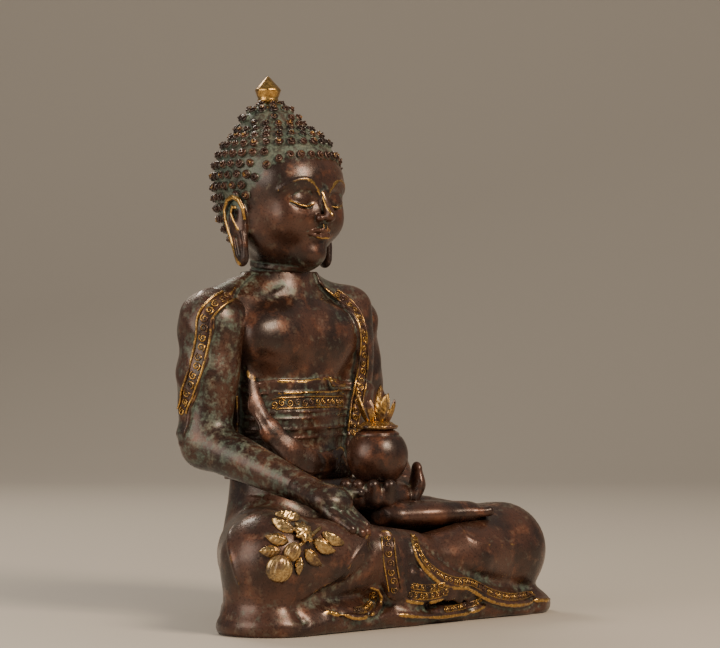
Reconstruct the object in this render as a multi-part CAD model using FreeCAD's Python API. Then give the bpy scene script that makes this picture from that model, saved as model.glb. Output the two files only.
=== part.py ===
"""Seated medicine Buddha, cast in brass in sections that are pinned and brazed together.

Millimetres, +Z up. The figure faces -Y and its own left side is +X. Every section is laid out in figure
coordinates, with the floor at Z 0 and the knees level with Y -46, and the finished set is then moved so that
the origin is the middle of the underside of its bounding box.
"""

import FreeCAD, Part
import math
import os

Vector = FreeCAD.Vector

# Castings
wall = 4.0                    # metal left round every core
joint_gap = 0.05              # radial room of a spigot or pin in its hole
rest_gap = 0.3                # room between curved sections that lie against each other

# Crossed legs and the robe that they sit on
knee_x = 98.0                 # each knee from the middle
knee_y = -46.0
right_knee_radius = 30.0
left_knee_radius = 29.5
hip_radius = 29.0             # thigh at the hip
hip_x = 34.0
hip_y = 28.0
hip_z = 43.5
shin_y = -61.0                # where the shins cross
shin_radius = 21.0
pelvis_y = 40.0
pelvis_half_width = 50.0
pelvis_half_depth = 42.0
hem_height = 10.0             # thickness of the robe spread on the floor
hem_round = 4.0               # rounding of its upper edge
skirt_round = 12.0
hem_spread = 2.0              # how far it spreads past the knees
skirt_height = 34.0           # solid robe under the shins
skirt_inset = 8.0             # skirt's outline inside the knees' outline

# Closing plate under the seat
plate_thickness = 2.0
plate_recess = 1.0            # plate's underside above the floor
plate_ledge = 9.0             # width of casting that the plate lies against
plate_gap = 0.3
screw_radius = 1.5
screw_head_radius = 2.8
screw_head_height = 1.4
screw_length = 7.0

# Torso
waist_z = 84.0                # joint between seat and torso
waist_y = 41.0
waist_spigot_radius = 24.0
spigot_length = 8.0
belly_half_width = 42.0
belly_half_depth = 31.0
chest_z = 168.0
chest_y = 49.0
chest_half_width = 56.0
chest_half_depth = 33.0
shoulder_z = 183.0
shoulder_x = 58.0
shoulder_radius = 20.5
belt_z = 124.0                # middle of the patterned belt
belt_half_height = 5.0
belt_relief = 1.4
neck_z = 212.0                # joint between torso and head
neck_y = 49.0
neck_radius = 17.0
neck_spigot_radius = 10.5
rivet_radius = 1.5

# Head
head_z = 263.0
head_y = 52.0
head_half_width = 37.0
head_half_depth = 40.0
head_half_height = 38.0
jaw_radius = 29.0
hair_rise = 1.6               # curls over the scalp
hairline_tilt = 35.0          # degrees, lower at the nape than over the brow
topknot_rise = 40.0           # top-knot's centre over the head's centre
topknot_setback = 9.0
topknot_radius = 19.0
ear_length = 42.0
ear_thickness = 7.0
ear_width = 13.0
finial_radius = 8.2
finial_height = 15.5
finial_stem_radius = 3.0
finial_stem_length = 9.0

# Arms and hands
elbow_x = 67.0
elbow_y = 46.0
elbow_z = 106.0
elbow_radius = 15.0
wrist_radius = 9.5
dowel_radius = 3.0
dowel_half_length = 8.0
right_wrist = Vector(-54.0, -23.0, 83.0)
right_knuckles = Vector(-49.0, -47.0, 76.0)
right_fingertips = Vector(-44.0, -69.0, 64.0)
left_wrist = Vector(49.0, -10.0, 77.0)
finger_radius = 4.0
palm_half_width = 13.0
palm_half_thickness = 7.0

# Foot that lies sole up on the left shin
foot_heel = Vector(20.0, -34.0, 64.0)
foot_toes = Vector(76.0, -58.0, 66.5)
foot_radius = 9.0
toe_radius = 5.5

# Medicine bowl in the left hand
bowl_x = 15.0
bowl_y = -21.0
bowl_seat_z = 80.0            # lowest point of the bowl
bowl_radius = 19.0
bowl_wall = 2.5
mouth_radius = 9.5
lid_height = 4.0
lid_rim = 2.5                 # lid's edge past the mouth
lid_spigot = 3.0
stud_radius = 2.0
stud_length = 12.0
crown_leaf_length = 22.0
crown_leaf_width = 4.0
crown_leaf_count = 5
crown_fruit_radius = 4.0

# Myrobalan sprig on the right knee
sprig_stem_radius = 1.8
sprig_leaf_length = 16.0
sprig_leaf_width = 8.0
sprig_leaf_thickness = 3.0
sprig_leaf_count = 8
sprig_fruit_radius = 6.5

right_knee = Vector(-knee_x, knee_y, hem_height - 1 + right_knee_radius)
left_knee = Vector(knee_x, knee_y, hem_height - 1 + left_knee_radius)


# ---- shapes ----------------------------------------------------------------------------------------------
def ball(centre, radius):
    return Part.makeSphere(radius, centre)


def ellipsoid(centre, half_x, half_y, half_z):
    matrix = FreeCAD.Matrix()
    matrix.scale(half_x, half_y, half_z)
    shape = Part.makeSphere(1.0).transformGeometry(matrix)
    shape.translate(centre)
    return shape


def turned_ellipsoid(centre, halves, along, up):
    """An ellipsoid, its first half axis along one direction and its third as near another as can be."""
    shape = ellipsoid(Vector(0, 0, 0), *halves)
    shape.Placement = FreeCAD.Placement(centre, frame_of(along, up))
    return shape


def frame_of(along, up):
    return FreeCAD.Rotation(along, up.cross(along), up, "XZY")


def rod(start, end, start_radius, end_radius=None):
    end_radius = start_radius if end_radius is None else end_radius
    axis = end - start
    if abs(start_radius - end_radius) < 1e-6:
        return Part.makeCylinder(start_radius, axis.Length, start, axis)
    return Part.makeCone(start_radius, end_radius, axis.Length, start, axis)


def limb(points, radii):
    """A run of rounded, tapered lengths."""
    pieces = [ball(p, r) for p, r in zip(points, radii)]
    pieces += [rod(a, b, ra, rb) for a, b, ra, rb in zip(points, points[1:], radii, radii[1:])]
    return joined(pieces)


def joined(pieces):
    return pieces[0].multiFuse(pieces[1:], 0.001) if len(pieces) > 1 else pieces[0]


def without(shape, *tools):
    return shape.cut(Part.makeCompound(list(tools))) if len(tools) > 1 else shape.cut(tools[0])


def slab(low_z, high_z):
    side = 600.0
    return Part.makeBox(side, side, high_z - low_z, Vector(-side / 2, -side / 2, low_z))


def largest(shape):
    """The main solid, without any crumb that a cut left."""
    return max(shape.Solids, key=lambda solid: solid.Volume)


def along(start, end, distance):
    return start + (end - start).normalize() * distance


# ---- seat --------------------------------------------------------------------------------------------------
def seat_outline(low_z, high_z, grow, rounding=0.0):
    """Rounded three-cornered block whose corners are the knees and the pelvis."""
    corners = [
        (knee_x, knee_y, left_knee_radius + grow),
        (0.0, pelvis_y, pelvis_half_depth + grow),
        (-knee_x, knee_y, right_knee_radius + grow),
    ]
    edges = []
    arcs = [tangent_points(corners[i - 1], corners[i], corners[(i + 1) % 3]) for i in range(3)]
    for i, (first, middle, last) in enumerate(arcs):
        edges.append(Part.Arc(first, middle, last).toShape())
        edges.append(Part.LineSegment(last, arcs[(i + 1) % 3][0]).toShape())
    face = Part.Face(Part.Wire(edges))
    face.translate(Vector(0, 0, low_z))
    block = face.extrude(Vector(0, 0, high_z - low_z))
    if not rounding:
        return block
    upper = [e for e in block.Edges if abs(e.BoundBox.ZMin - high_z) < 1e-6]
    return block.makeFillet(rounding, upper)


def outer_normal(a, b):
    """Unit normal of the line that touches two circles on their right-hand side, going from a to b."""
    dx, dy = b[0] - a[0], b[1] - a[1]
    length = math.hypot(dx, dy)
    tilt = math.asin((a[2] - b[2]) / length)
    angle = math.atan2(dy, dx) - math.pi / 2 + tilt
    return Vector(math.cos(angle), math.sin(angle), 0)


def tangent_points(before, corner, after):
    """Where the outline touches one corner circle, and the middle of its arc, going anticlockwise."""
    centre, radius = Vector(corner[0], corner[1], 0), corner[2]
    first, last = outer_normal(before, corner), outer_normal(corner, after)
    middle = (first + last).normalize()
    return centre + first * radius, centre + middle * radius, centre + last * radius


def leg(side, inset=0.0):
    """Thigh and shin under the robe; the right shin lies on the left one."""
    knee, knee_radius = (left_knee, left_knee_radius) if side > 0 else (right_knee, right_knee_radius)
    hip = Vector(side * hip_x, hip_y, hip_z)
    if side < 0:
        end, end_radius = Vector(8, shin_y, hem_height + shin_radius + 6), shin_radius
    else:
        end, end_radius = Vector(4, shin_y + 4, hem_height + shin_radius + 3), shin_radius
    radii = [hip_radius, knee_radius - 1, end_radius]
    return limb([hip, knee, end], [r - inset for r in radii])


def robe_folds():
    """Ends of the robe that run out on the floor in front of the shins."""
    low = hem_height - 2
    runs = [(-58, -14, 9.5, 11.0), (8, 34, 12.0, 12.5), (46, 78, 10.5, 8.5)]
    return [limb([Vector(a, shin_y - 5, low), Vector(b, shin_y - 5, low)], [ra, rb]) for a, b, ra, rb in runs]


def pelvis(inset=0.0):
    """Seat of the robe, from inside the hem up to the oval of the waist joint."""
    rise = waist_z - hem_height
    ovals = [
        (hem_height - 7, pelvis_half_width - 10, pelvis_half_depth - 8, pelvis_y),
        (hem_height + rise * 0.08, pelvis_half_width - 2, pelvis_half_depth - 1.5, pelvis_y),
        (hem_height + rise * 0.34, pelvis_half_width, pelvis_half_depth, pelvis_y),
        (hem_height + rise * 0.60, pelvis_half_width - 4, pelvis_half_depth - 5, pelvis_y),
        (hem_height + rise * 0.84, belly_half_width + 4, belly_half_depth + 4, pelvis_y + 0.5),
        (waist_z, belly_half_width - 2, belly_half_depth - 1, waist_y),
    ]
    solid = lofted([(z, w - inset, d - inset, y) for z, w, d, y in ovals])
    return solid.cut(slab(waist_z - inset, waist_z + 50)) if inset else solid


def seat_outside():
    pieces = [
        seat_outline(0, hem_height, hem_spread, hem_round),
        seat_outline(0, skirt_height, -skirt_inset, skirt_round),
        pelvis(),
        leg(-1),
        leg(1),
    ]
    return joined(pieces + robe_folds()).cut(slab(-100, 0))


def screw_places():
    """Two points at each rounded corner, over the middle of the ledge that the plate lies against."""
    ledge_outer = hem_spread - plate_ledge / 2
    ledge_inner = -(skirt_inset + wall + 1)
    inset = (ledge_outer + ledge_inner) / 2
    corners = [
        (-knee_x, knee_y, right_knee_radius, (180, 265)),
        (knee_x, knee_y, left_knee_radius, (275, 360)),
        (0, pelvis_y, pelvis_half_depth, (60, 120)),
    ]
    places = []
    for x, y, radius, angles in corners:
        for angle in angles:
            turn = math.radians(angle)
            reach = radius + inset
            places.append(Vector(x + reach * math.cos(turn), y + reach * math.sin(turn), plate_recess))
    return places


def seat_core():
    """Room left by the core: open below, and kept clear of the ledge round the plate."""
    rooms = [
        seat_outline(0, skirt_height - wall, -(skirt_inset + wall + 1)),
        pelvis(wall),
        leg(-1, wall),
        leg(1, wall),
    ]
    return joined(rooms)


def build_seat():
    plate_top = plate_recess + plate_thickness
    plate_room = seat_outline(-1, plate_top, hem_spread - plate_ledge / 2 + plate_gap)
    waist_bore = Part.makeCylinder(
        waist_spigot_radius + joint_gap, 40, Vector(0, waist_y, waist_z - 30)
    )
    screws = [rod(p, p + Vector(0, 0, screw_length), screw_radius + joint_gap) for p in screw_places()]
    pins = waist_pins(joint_gap)
    return largest(without(seat_outside(), seat_core(), plate_room, waist_bore, *screws, *pins))


def waist_pins(grow=0.0):
    """Four pins driven in from outside, through the seat's rim and the torso's spigot."""
    level = waist_z - spigot_length / 2
    centre = Vector(0, waist_y, level)
    pins = []
    for angle in (35, 145, 215, 325):
        out = Vector(math.cos(math.radians(angle)), math.sin(math.radians(angle)), 0)
        start = centre + out * (waist_spigot_radius - wall - grow)
        pins.append(rod(start, start + out * (wall + 6 + 2 * grow), rivet_radius + grow))
    return pins


def build_plate():
    """Sheet that closes the underside, with a countersunk hole for each screw."""
    sheet = seat_outline(plate_recess, plate_recess + plate_thickness, hem_spread - plate_ledge / 2)
    return without(sheet, *[screw(p, joint_gap) for p in screw_places()])


def screw(place, grow=0.0):
    head = Part.makeCone(
        screw_head_radius + grow, screw_radius + grow, screw_head_height, place, Vector(0, 0, 1)
    )
    shank = rod(place, place + Vector(0, 0, screw_length - 1), screw_radius + grow)
    return head.fuse(shank).removeSplitter()


# ---- torso -------------------------------------------------------------------------------------------------
def torso_outside(inset=0.0):
    """Body lofted through level ovals from the waist to the neck."""
    ovals = [
        (waist_z, belly_half_width - 2, belly_half_depth - 1, waist_y),
        (waist_z + 22, belly_half_width, belly_half_depth, waist_y + 1),
        (waist_z + 48, belly_half_width + 2, belly_half_depth, waist_y + 3),
        (chest_z - 14, chest_half_width - 5, chest_half_depth, chest_y - 2),
        (chest_z + 6, chest_half_width, chest_half_depth, chest_y),
        (chest_z + 22, chest_half_width + 1, chest_half_depth - 6, chest_y + 1),
        (chest_z + 33, chest_half_width - 13, chest_half_depth - 12, chest_y + 1),
        (neck_z - 6, neck_radius + 5, neck_radius + 2, neck_y),
        (neck_z, neck_radius, neck_radius, neck_y),
    ]
    return lofted([(z, w - inset, d - inset, y) for z, w, d, y in ovals])


def lofted(ovals):
    """A smooth solid through level ovals, each given as height, half width, half depth and place in Y."""
    wires = []
    for z, half_x, half_y, y in ovals:
        centre = Vector(0, y, z)
        if half_x >= half_y:
            curve = Part.Ellipse(centre, half_x, half_y)
        else:
            curve = Part.Ellipse(centre + Vector(0, half_y, 0), centre - Vector(half_x, 0, 0), centre)
        wires.append(Part.Wire(curve.toShape()))
    return Part.makeLoft(wires, True)


def belt():
    """Patterned belt, raised from the robe round the waist."""
    share = [-1.0, -0.6, 0.6, 1.0]
    relief = [0.2, belt_relief, belt_relief, 0.2]
    ovals = []
    for part, out in zip(share, relief):
        z = belt_z + part * belt_half_height
        ovals.append((z, belly_half_width + 1.4 + out, belly_half_depth + out, waist_y + 2))
    wires = [Part.Wire(Part.Ellipse(Vector(0, y, z), w, d).toShape()) for z, w, d, y in ovals]
    return Part.makeLoft(wires, True, True)


def build_torso():
    outside = torso_outside().fuse(belt())
    core = torso_outside(wall + 1).cut(slab(-100, waist_z + wall)).cut(slab(shoulder_z + 8, 400))
    spigot = Part.makeCylinder(waist_spigot_radius, spigot_length, Vector(0, waist_y, waist_z - spigot_length))
    bore = Part.makeCylinder(waist_spigot_radius - wall, 60, Vector(0, waist_y, waist_z - spigot_length))
    neck_bore = Part.makeCylinder(neck_spigot_radius + joint_gap, 60, Vector(0, neck_y, neck_z - 40))
    holes = waist_pins(joint_gap) + neck_pins(joint_gap)
    holes += [shoulder_dowel(side, joint_gap) for side in (-1, 1)]
    return largest(without(outside.fuse(spigot), core, bore, neck_bore, *holes))


def neck_pins(grow=0.0):
    """Three pins through the neck into the head's spigot."""
    centre = Vector(0, neck_y, neck_z - spigot_length / 2)
    pins = []
    for angle in (90, 210, 330):
        out = Vector(math.cos(math.radians(angle)), math.sin(math.radians(angle)), 0)
        start = centre + out * (neck_spigot_radius - wall + 1 - grow)
        length = wall + neck_radius - neck_spigot_radius - 2
        pins.append(rod(start, start + out * length, rivet_radius + grow))
    return pins


# ---- head --------------------------------------------------------------------------------------------------
def topknot_centre():
    return Vector(0, head_y + topknot_setback, head_z + topknot_rise)


def topknot_top():
    return topknot_centre().z + topknot_radius


def ear(side):
    centre = Vector(side * (head_half_width - 2), head_y - 1, head_z - ear_length / 2 - 4)
    return ellipsoid(centre, ear_thickness / 2, ear_width / 2, ear_length / 2)


def skull(inset=0.0):
    """Skull, jaw and neck lofted through level ovals."""
    ovals = [
        (neck_z, neck_radius, neck_radius, neck_y),
        (neck_z + 4, neck_radius, neck_radius, neck_y),
        (head_z - 40, jaw_radius - 8, head_half_depth - 15, head_y - 6),
        (head_z - 34, jaw_radius - 4, head_half_depth - 10, head_y - 7),
        (head_z - 24, jaw_radius + 1, head_half_depth - 5.5, head_y - 6),
        (head_z - 12, head_half_width - 2, head_half_depth - 1.5, head_y - 2),
        (head_z, head_half_width, head_half_depth, head_y),
        (head_z + 13, head_half_width - 2, head_half_depth - 2, head_y + 0.5),
        (head_z + 25, head_half_width - 9, head_half_depth - 9, head_y + 1),
        (head_z + 33, head_half_width - 19, head_half_depth - 19, head_y + 1.5),
        (head_z + head_half_height, 5, 6, head_y + 2),
    ]
    if inset > 0:
        ovals = ovals[2:-1]
    return lofted([(z, w - inset, d - inset, y) for z, w, d, y in ovals])


def face_features():
    """Plain, even features: nose, lids, lips and chin."""
    front = head_y - head_half_depth
    eye_z = head_z - 4
    nose_z = head_z - 16
    pieces = [
        limb([Vector(0, front + 1, eye_z + 4), Vector(0, front - 3.5, nose_z)], [2.6, 4.0]),
        limb([Vector(-5, front + 2.6, nose_z - 8), Vector(5, front + 2.6, nose_z - 8)], [2.4, 2.4]),
        limb([Vector(-4, front + 3.2, nose_z - 12), Vector(4, front + 3.2, nose_z - 12)], [2.6, 2.6]),
        ball(Vector(0, front + 11.5, nose_z - 21), 8.0),
    ]
    for side in (-1, 1):
        pieces.append(ball(Vector(side * 3.4, front - 1, nose_z), 2.6))
        pieces.append(ball(Vector(side * 13, front + 9.6, eye_z), 8.0))
    return pieces


def hair():
    """Cap of curls, cut off along the hairline."""
    below = Part.makeBox(200, 200, 200, Vector(-100, -100, -200))
    below.rotate(Vector(0, 0, 0), Vector(1, 0, 0), -hairline_tilt)
    below.translate(Vector(0, head_y, head_z - 8))
    return skull(-hair_rise).cut(below)


def build_head():
    spigot = Part.makeCylinder(neck_spigot_radius, spigot_length + 6, Vector(0, neck_y, neck_z - spigot_length))
    knot = ball(topknot_centre(), topknot_radius)
    outside = joined([skull(), knot, hair(), ear(-1), ear(1), spigot] + face_features())
    core = joined([skull(wall), ball(topknot_centre(), topknot_radius - wall)])
    neck_bore = Part.makeCylinder(neck_spigot_radius - wall, 40, Vector(0, neck_y, neck_z - spigot_length))
    stem_hole = rod(
        Vector(0, topknot_centre().y, topknot_top() - finial_stem_length - 1),
        Vector(0, topknot_centre().y, topknot_top() + 5),
        finial_stem_radius + joint_gap,
    )
    return largest(without(outside, core, neck_bore, stem_hole, *neck_pins(joint_gap), seat_for_finial()))


def seat_for_finial():
    """Flat spot on the top-knot under the jewel."""
    return Part.makeCylinder(finial_radius + 3, 20, Vector(0, topknot_centre().y, topknot_top() - 1.5))


def build_finial():
    """Jewel with a short girdle and a low cone, and a stem down into the top-knot."""
    base = topknot_top() - 1.5
    profile = [
        (0, base - finial_stem_length + 2),
        (finial_stem_radius, base - finial_stem_length + 2),
        (finial_stem_radius, base),
        (finial_radius * 0.68, base),
        (finial_radius * 0.80, base + finial_height * 0.16),
        (finial_radius, base + finial_height * 0.42),
        (finial_radius * 0.93, base + finial_height * 0.52),
        (0.6, base + finial_height * 0.98),
        (0, base + finial_height),
    ]
    return revolved(profile, topknot_centre().x, topknot_centre().y)


def revolved(profile, x, y):
    points = [Vector(r, 0, z) for r, z in profile]
    face = Part.Face(Part.makePolygon(points + points[:1]))
    shape = face.revolve(Vector(0, 0, 0), Vector(0, 0, 1), 360)
    shape.translate(Vector(x, y, 0))
    return shape


# ---- arms --------------------------------------------------------------------------------------------------
def shoulder(side):
    return Vector(side * shoulder_x, chest_y, shoulder_z)


def elbow(side):
    return Vector(side * elbow_x, elbow_y, elbow_z)


def shoulder_dowel(side, grow=0.0):
    start = Vector(side * (shoulder_x - 22), chest_y, shoulder_z)
    end = Vector(side * (shoulder_x + 4), chest_y, shoulder_z)
    return rod(start, along(start, end, (end - start).Length + grow), dowel_radius + grow)


def wrist_dowel(side, grow=0.0):
    wrist = right_wrist if side < 0 else left_wrist
    axis = (wrist - elbow(side)).normalize()
    half = dowel_half_length + grow
    return rod(wrist - axis * half, wrist + axis * half, dowel_radius + grow)


def beyond_wrist(side):
    """Block of space past the wrist joint."""
    wrist = right_wrist if side < 0 else left_wrist
    axis = wrist - elbow(side)
    return Part.makeCylinder(60, 120, wrist, axis)


def build_arm(side, torso, seat):
    wrist = right_wrist if side < 0 else left_wrist
    past = along(elbow(side), wrist, (wrist - elbow(side)).Length + 6)
    shape = limb(
        [shoulder(side), elbow(side), past], [shoulder_radius, elbow_radius, wrist_radius]
    )
    holes = [shoulder_dowel(side, joint_gap), wrist_dowel(side, joint_gap)]
    return largest(without(shape, torso, seat, beyond_wrist(side), *holes))


# ---- hands and foot ----------------------------------------------------------------------------------------
def build_right_hand(seat):
    reach = (right_knuckles - right_wrist).normalize()
    across = Vector(0, 0, 1).cross(reach).normalize()
    palm = rod(right_wrist, right_knuckles, wrist_radius, wrist_radius - 1)
    pieces = [palm, ball(right_wrist, wrist_radius)]
    pieces.append(ball(right_knuckles, wrist_radius - 1))
    for place in (-1.5, -0.5, 0.5, 1.5):
        root = right_knuckles + across * (place * 2 * finger_radius * 0.8)
        tip = right_fingertips + across * (place * 2 * finger_radius * 0.85)
        pieces.append(limb([root, tip], [finger_radius, finger_radius - 1]))
    thumb_root = right_wrist + reach * 8 + across * wrist_radius * 0.6
    thumb_tip = right_knuckles + across * (wrist_radius + 4) + Vector(0, 0, -5)
    pieces.append(limb([thumb_root, thumb_tip], [finger_radius + 0.5, finger_radius - 0.6]))
    hand = without(joined(pieces), elbow_side_of_wrist(-1), seat, wrist_dowel(-1, joint_gap))
    return largest(hand)


def elbow_side_of_wrist(side):
    wrist = right_wrist if side < 0 else left_wrist
    axis = elbow(side) - wrist
    return Part.makeCylinder(40, 120, wrist, axis)


def bowl_centre():
    return Vector(bowl_x, bowl_y, bowl_seat_z + bowl_radius)


def build_left_hand(seat, arm):
    seat_of_bowl = Vector(bowl_x, bowl_y, bowl_seat_z)
    palm = Vector(bowl_x + bowl_radius * 0.25, bowl_y, bowl_seat_z - palm_half_thickness + 2)
    pieces = [
        ellipsoid(palm, bowl_radius * 1.2, palm_half_width + 3, palm_half_thickness + 1),
        limb([left_wrist, palm], [wrist_radius, wrist_radius - 2]),
        ball(left_wrist, wrist_radius),
    ]
    for place in (-1.5, -0.5, 0.5, 1.5):
        y = bowl_y + place * 2 * finger_radius * 0.95
        root = Vector(bowl_x - bowl_radius * 0.1, y, palm.z)
        middle = Vector(bowl_x - bowl_radius * 0.8, y, palm.z + 1)
        tip = Vector(bowl_x - bowl_radius * 1.05, y, palm.z + 9)
        pieces.append(limb([root, middle, tip], [finger_radius, finger_radius, finger_radius - 1]))
    thumb_root = Vector(bowl_x + bowl_radius * 1.1, bowl_y - palm_half_width * 0.5, palm.z + 2)
    thumb_tip = Vector(bowl_x + bowl_radius * 1.2, bowl_y - palm_half_width * 0.9, palm.z + 17)
    pieces.append(limb([thumb_root, thumb_tip], [finger_radius + 1, finger_radius]))
    room = ball(bowl_centre(), bowl_radius + rest_gap)
    stud = rod(seat_of_bowl - Vector(0, 0, 30), seat_of_bowl + Vector(0, 0, 5), stud_radius + joint_gap)
    hand = without(joined(pieces), elbow_side_of_wrist(1), seat, arm, room, stud, wrist_dowel(1, joint_gap))
    return largest(hand)


def build_foot(seat, hand):
    middle = (foot_heel + foot_toes) * 0.5
    sole = limb([foot_heel, middle, foot_toes], [foot_radius, foot_radius - 1, toe_radius + 1])
    across = Vector(0, 0, 1).cross(foot_toes - foot_heel).normalize()
    toes = [
        limb([foot_toes + across * k, foot_toes + across * k + Vector(5, -2, 0)], [2.2, 2.0])
        for k in (-4.5, -1.5, 1.5, 4.5)
    ]
    return largest(without(joined([sole] + toes), seat, hand))


# ---- medicine bowl -----------------------------------------------------------------------------------------
def build_bowl():
    centre = bowl_centre()
    lip = centre.z + math.sqrt(bowl_radius**2 - mouth_radius**2)
    mouth = Part.makeCylinder(mouth_radius, 40, Vector(centre.x, centre.y, centre.z))
    above_lip = slab(lip, lip + 60)
    stud = bowl_stud(joint_gap)
    inner = ball(centre, bowl_radius - bowl_wall)
    boss = Part.makeCylinder(stud_radius + 3, bowl_wall + 5, Vector(centre.x, centre.y, bowl_seat_z))
    shell = ball(centre, bowl_radius).cut(inner).fuse(boss.common(ball(centre, bowl_radius)))
    return largest(without(shell, mouth, above_lip, stud))


def bowl_stud(grow=0.0):
    start = Vector(bowl_x, bowl_y, bowl_seat_z - stud_length + 5)
    return rod(start, start + Vector(0, 0, stud_length - 1 + grow), stud_radius + grow)


def lid_seat_z():
    return bowl_centre().z + math.sqrt(bowl_radius**2 - mouth_radius**2)


def build_lid():
    z = lid_seat_z()
    inner = mouth_radius - 2 * joint_gap
    profile = [
        (0, z - lid_spigot),
        (inner, z - lid_spigot),
        (inner, z),
        (mouth_radius + lid_rim, z),
        (mouth_radius + lid_rim, z + lid_height * 0.35),
        (mouth_radius + 0.5, z + lid_height * 0.6),
        (mouth_radius - 1, z + lid_height),
        (0, z + lid_height),
    ]
    return revolved(profile, bowl_x, bowl_y)


def build_crown_leaves():
    """Myrobalan leaves that stand round the lid, one tall leaf and lower ones beside it."""
    foot_z = lid_seat_z() + lid_height
    leaves = []
    for index in range(crown_leaf_count):
        angle = 2 * math.pi * index / crown_leaf_count + math.radians(60)
        out = Vector(math.cos(angle), math.sin(angle), 0)
        length = crown_leaf_length if index == 0 else crown_leaf_length * 0.62
        ring = mouth_radius - 3.5
        centre = Vector(bowl_x, bowl_y, foot_z) + out * ring + Vector(0, 0, length * 0.5 - 0.3)
        leaf = turned_ellipsoid(centre, (length / 2, crown_leaf_width * 0.6, 1.1), Vector(0, 0, 1), out)
        leaves.append(largest(leaf.cut(slab(-100, foot_z))))
    return Part.makeCompound(leaves)


def build_crown_fruit():
    foot_z = lid_seat_z() + lid_height
    fruit = ellipsoid(
        Vector(bowl_x, bowl_y, foot_z + crown_fruit_radius * 0.8),
        crown_fruit_radius * 0.8,
        crown_fruit_radius * 0.8,
        crown_fruit_radius,
    )
    return largest(fruit.cut(slab(-100, foot_z)))


# ---- sprig on the right knee -------------------------------------------------------------------------------
def knee_frame():
    """Middle of the sprig on the knee's front, outward direction there, and a direction down the surface."""
    out = Vector(-0.1, -0.75, 0.65).normalize()
    centre = right_knee + Vector(8, 0, 0) + out * (right_knee_radius - 1)
    down = (Vector(-0.4, 0, -1) + out * out.z).normalize()
    return centre, out, down


def build_sprig_leaves(seat, hand):
    """Leaves that lie round the middle flower, bent down with the knee."""
    centre, out, down = knee_frame()
    side = out.cross(down)
    distance = sprig_leaf_length * 0.78
    leaves = []
    for number in range(sprig_leaf_count):
        angle = 2 * math.pi * (number + 0.5) / sprig_leaf_count
        direction = down * math.cos(angle) + side * math.sin(angle)
        place = centre + direction * distance - out * (distance**2 / (2.2 * right_knee_radius))
        normal = (out + direction * (distance / right_knee_radius)).normalize()
        reach = (direction - normal * direction.dot(normal)).normalize()
        halves = (sprig_leaf_length / 2, sprig_leaf_width / 2, sprig_leaf_thickness / 2)
        leaf = without(turned_ellipsoid(place + normal * 0.8, halves, reach, normal), seat, hand)
        if leaf.Solids:
            leaves.append(largest(leaf))
    return Part.makeCompound(leaves)


def build_sprig_fruit(seat, leaves):
    """Flower in the middle of the leaves and the large fruit low on the knee."""
    centre, out, down = knee_frame()
    round_half = sprig_fruit_radius * 0.7
    flower = turned_ellipsoid(centre + out * 0.8, (round_half, round_half, 4.2), down, out)
    low_out = Vector(-0.55, -0.83, 0.05).normalize()
    low_down = (Vector(0, 0, -1) + low_out * low_out.z).normalize()
    low = turned_ellipsoid(
        right_knee + low_out * (right_knee_radius - 0.5),
        (sprig_fruit_radius, sprig_fruit_radius * 0.85, 4.4),
        low_down,
        low_out,
    )
    return Part.makeCompound([largest(without(f, seat, leaves)) for f in (flower, low)])


def build_sprig_stem(seat, hand, leaves, fruit):
    centre, out, down = knee_frame()
    top = right_knuckles + Vector(-3, 0, -8)
    bend = centre - down * 12 + out * 2.5
    stem = limb([top, bend, centre + out * 1.5], [sprig_stem_radius] * 3)
    return largest(without(stem, seat, hand, leaves, fruit))


# ---- set ---------------------------------------------------------------------------------------------------
def build_all():
    parts = {}
    seat = parts["seat_casting"] = build_seat()
    torso = parts["torso_casting"] = build_torso()
    parts["head_casting"] = build_head()
    parts["crown_finial"] = build_finial()
    seat_body = seat_outside()
    torso_body = torso_outside().fuse(belt())
    for side, name in ((-1, "right"), (1, "left")):
        parts[name + "_arm_casting"] = build_arm(side, torso_body, seat_body)
        parts[name + "_shoulder_dowel"] = shoulder_dowel(side)
        parts[name + "_wrist_dowel"] = wrist_dowel(side)
    parts["right_hand_casting"] = build_right_hand(seat_body)
    parts["left_hand_casting"] = build_left_hand(seat_body, parts["left_arm_casting"])
    parts["right_foot_casting"] = build_foot(seat_body, parts["left_hand_casting"])
    parts["medicine_bowl"] = build_bowl()
    parts["bowl_stud"] = bowl_stud()
    parts["bowl_lid"] = build_lid()
    parts["bowl_lid_leaves"] = build_crown_leaves()
    parts["bowl_lid_fruit"] = build_crown_fruit()
    leaves = parts["sprig_leaves"] = build_sprig_leaves(seat_body, parts["right_hand_casting"])
    fruit = parts["sprig_fruits"] = build_sprig_fruit(seat_body, leaves)
    parts["sprig_stem"] = build_sprig_stem(seat_body, parts["right_hand_casting"], leaves, fruit)
    parts["waist_rivets"] = Part.makeCompound(waist_pins())
    parts["neck_rivets"] = Part.makeCompound(neck_pins())
    parts["base_plate"] = build_plate()
    parts["base_plate_screws"] = Part.makeCompound([screw(p) for p in screw_places()])
    return parts


def main():
    parts = build_all()
    box = Part.makeCompound(list(parts.values())).optimalBoundingBox()
    shift = Vector(-box.Center.x, -box.Center.y, 0)
    os.makedirs("parts", exist_ok=True)
    for name, shape in parts.items():
        moved = shape.translated(shift)
        moved.exportStep("parts/" + name + ".step")
        print(name, len(moved.Solids), moved.isValid(), round(moved.Volume / 1000, 2), "cm3")
    print("box", round(box.XLength, 2), round(box.YLength, 2), round(box.ZMax, 2), "shift", shift)


main()
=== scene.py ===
import math

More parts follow.
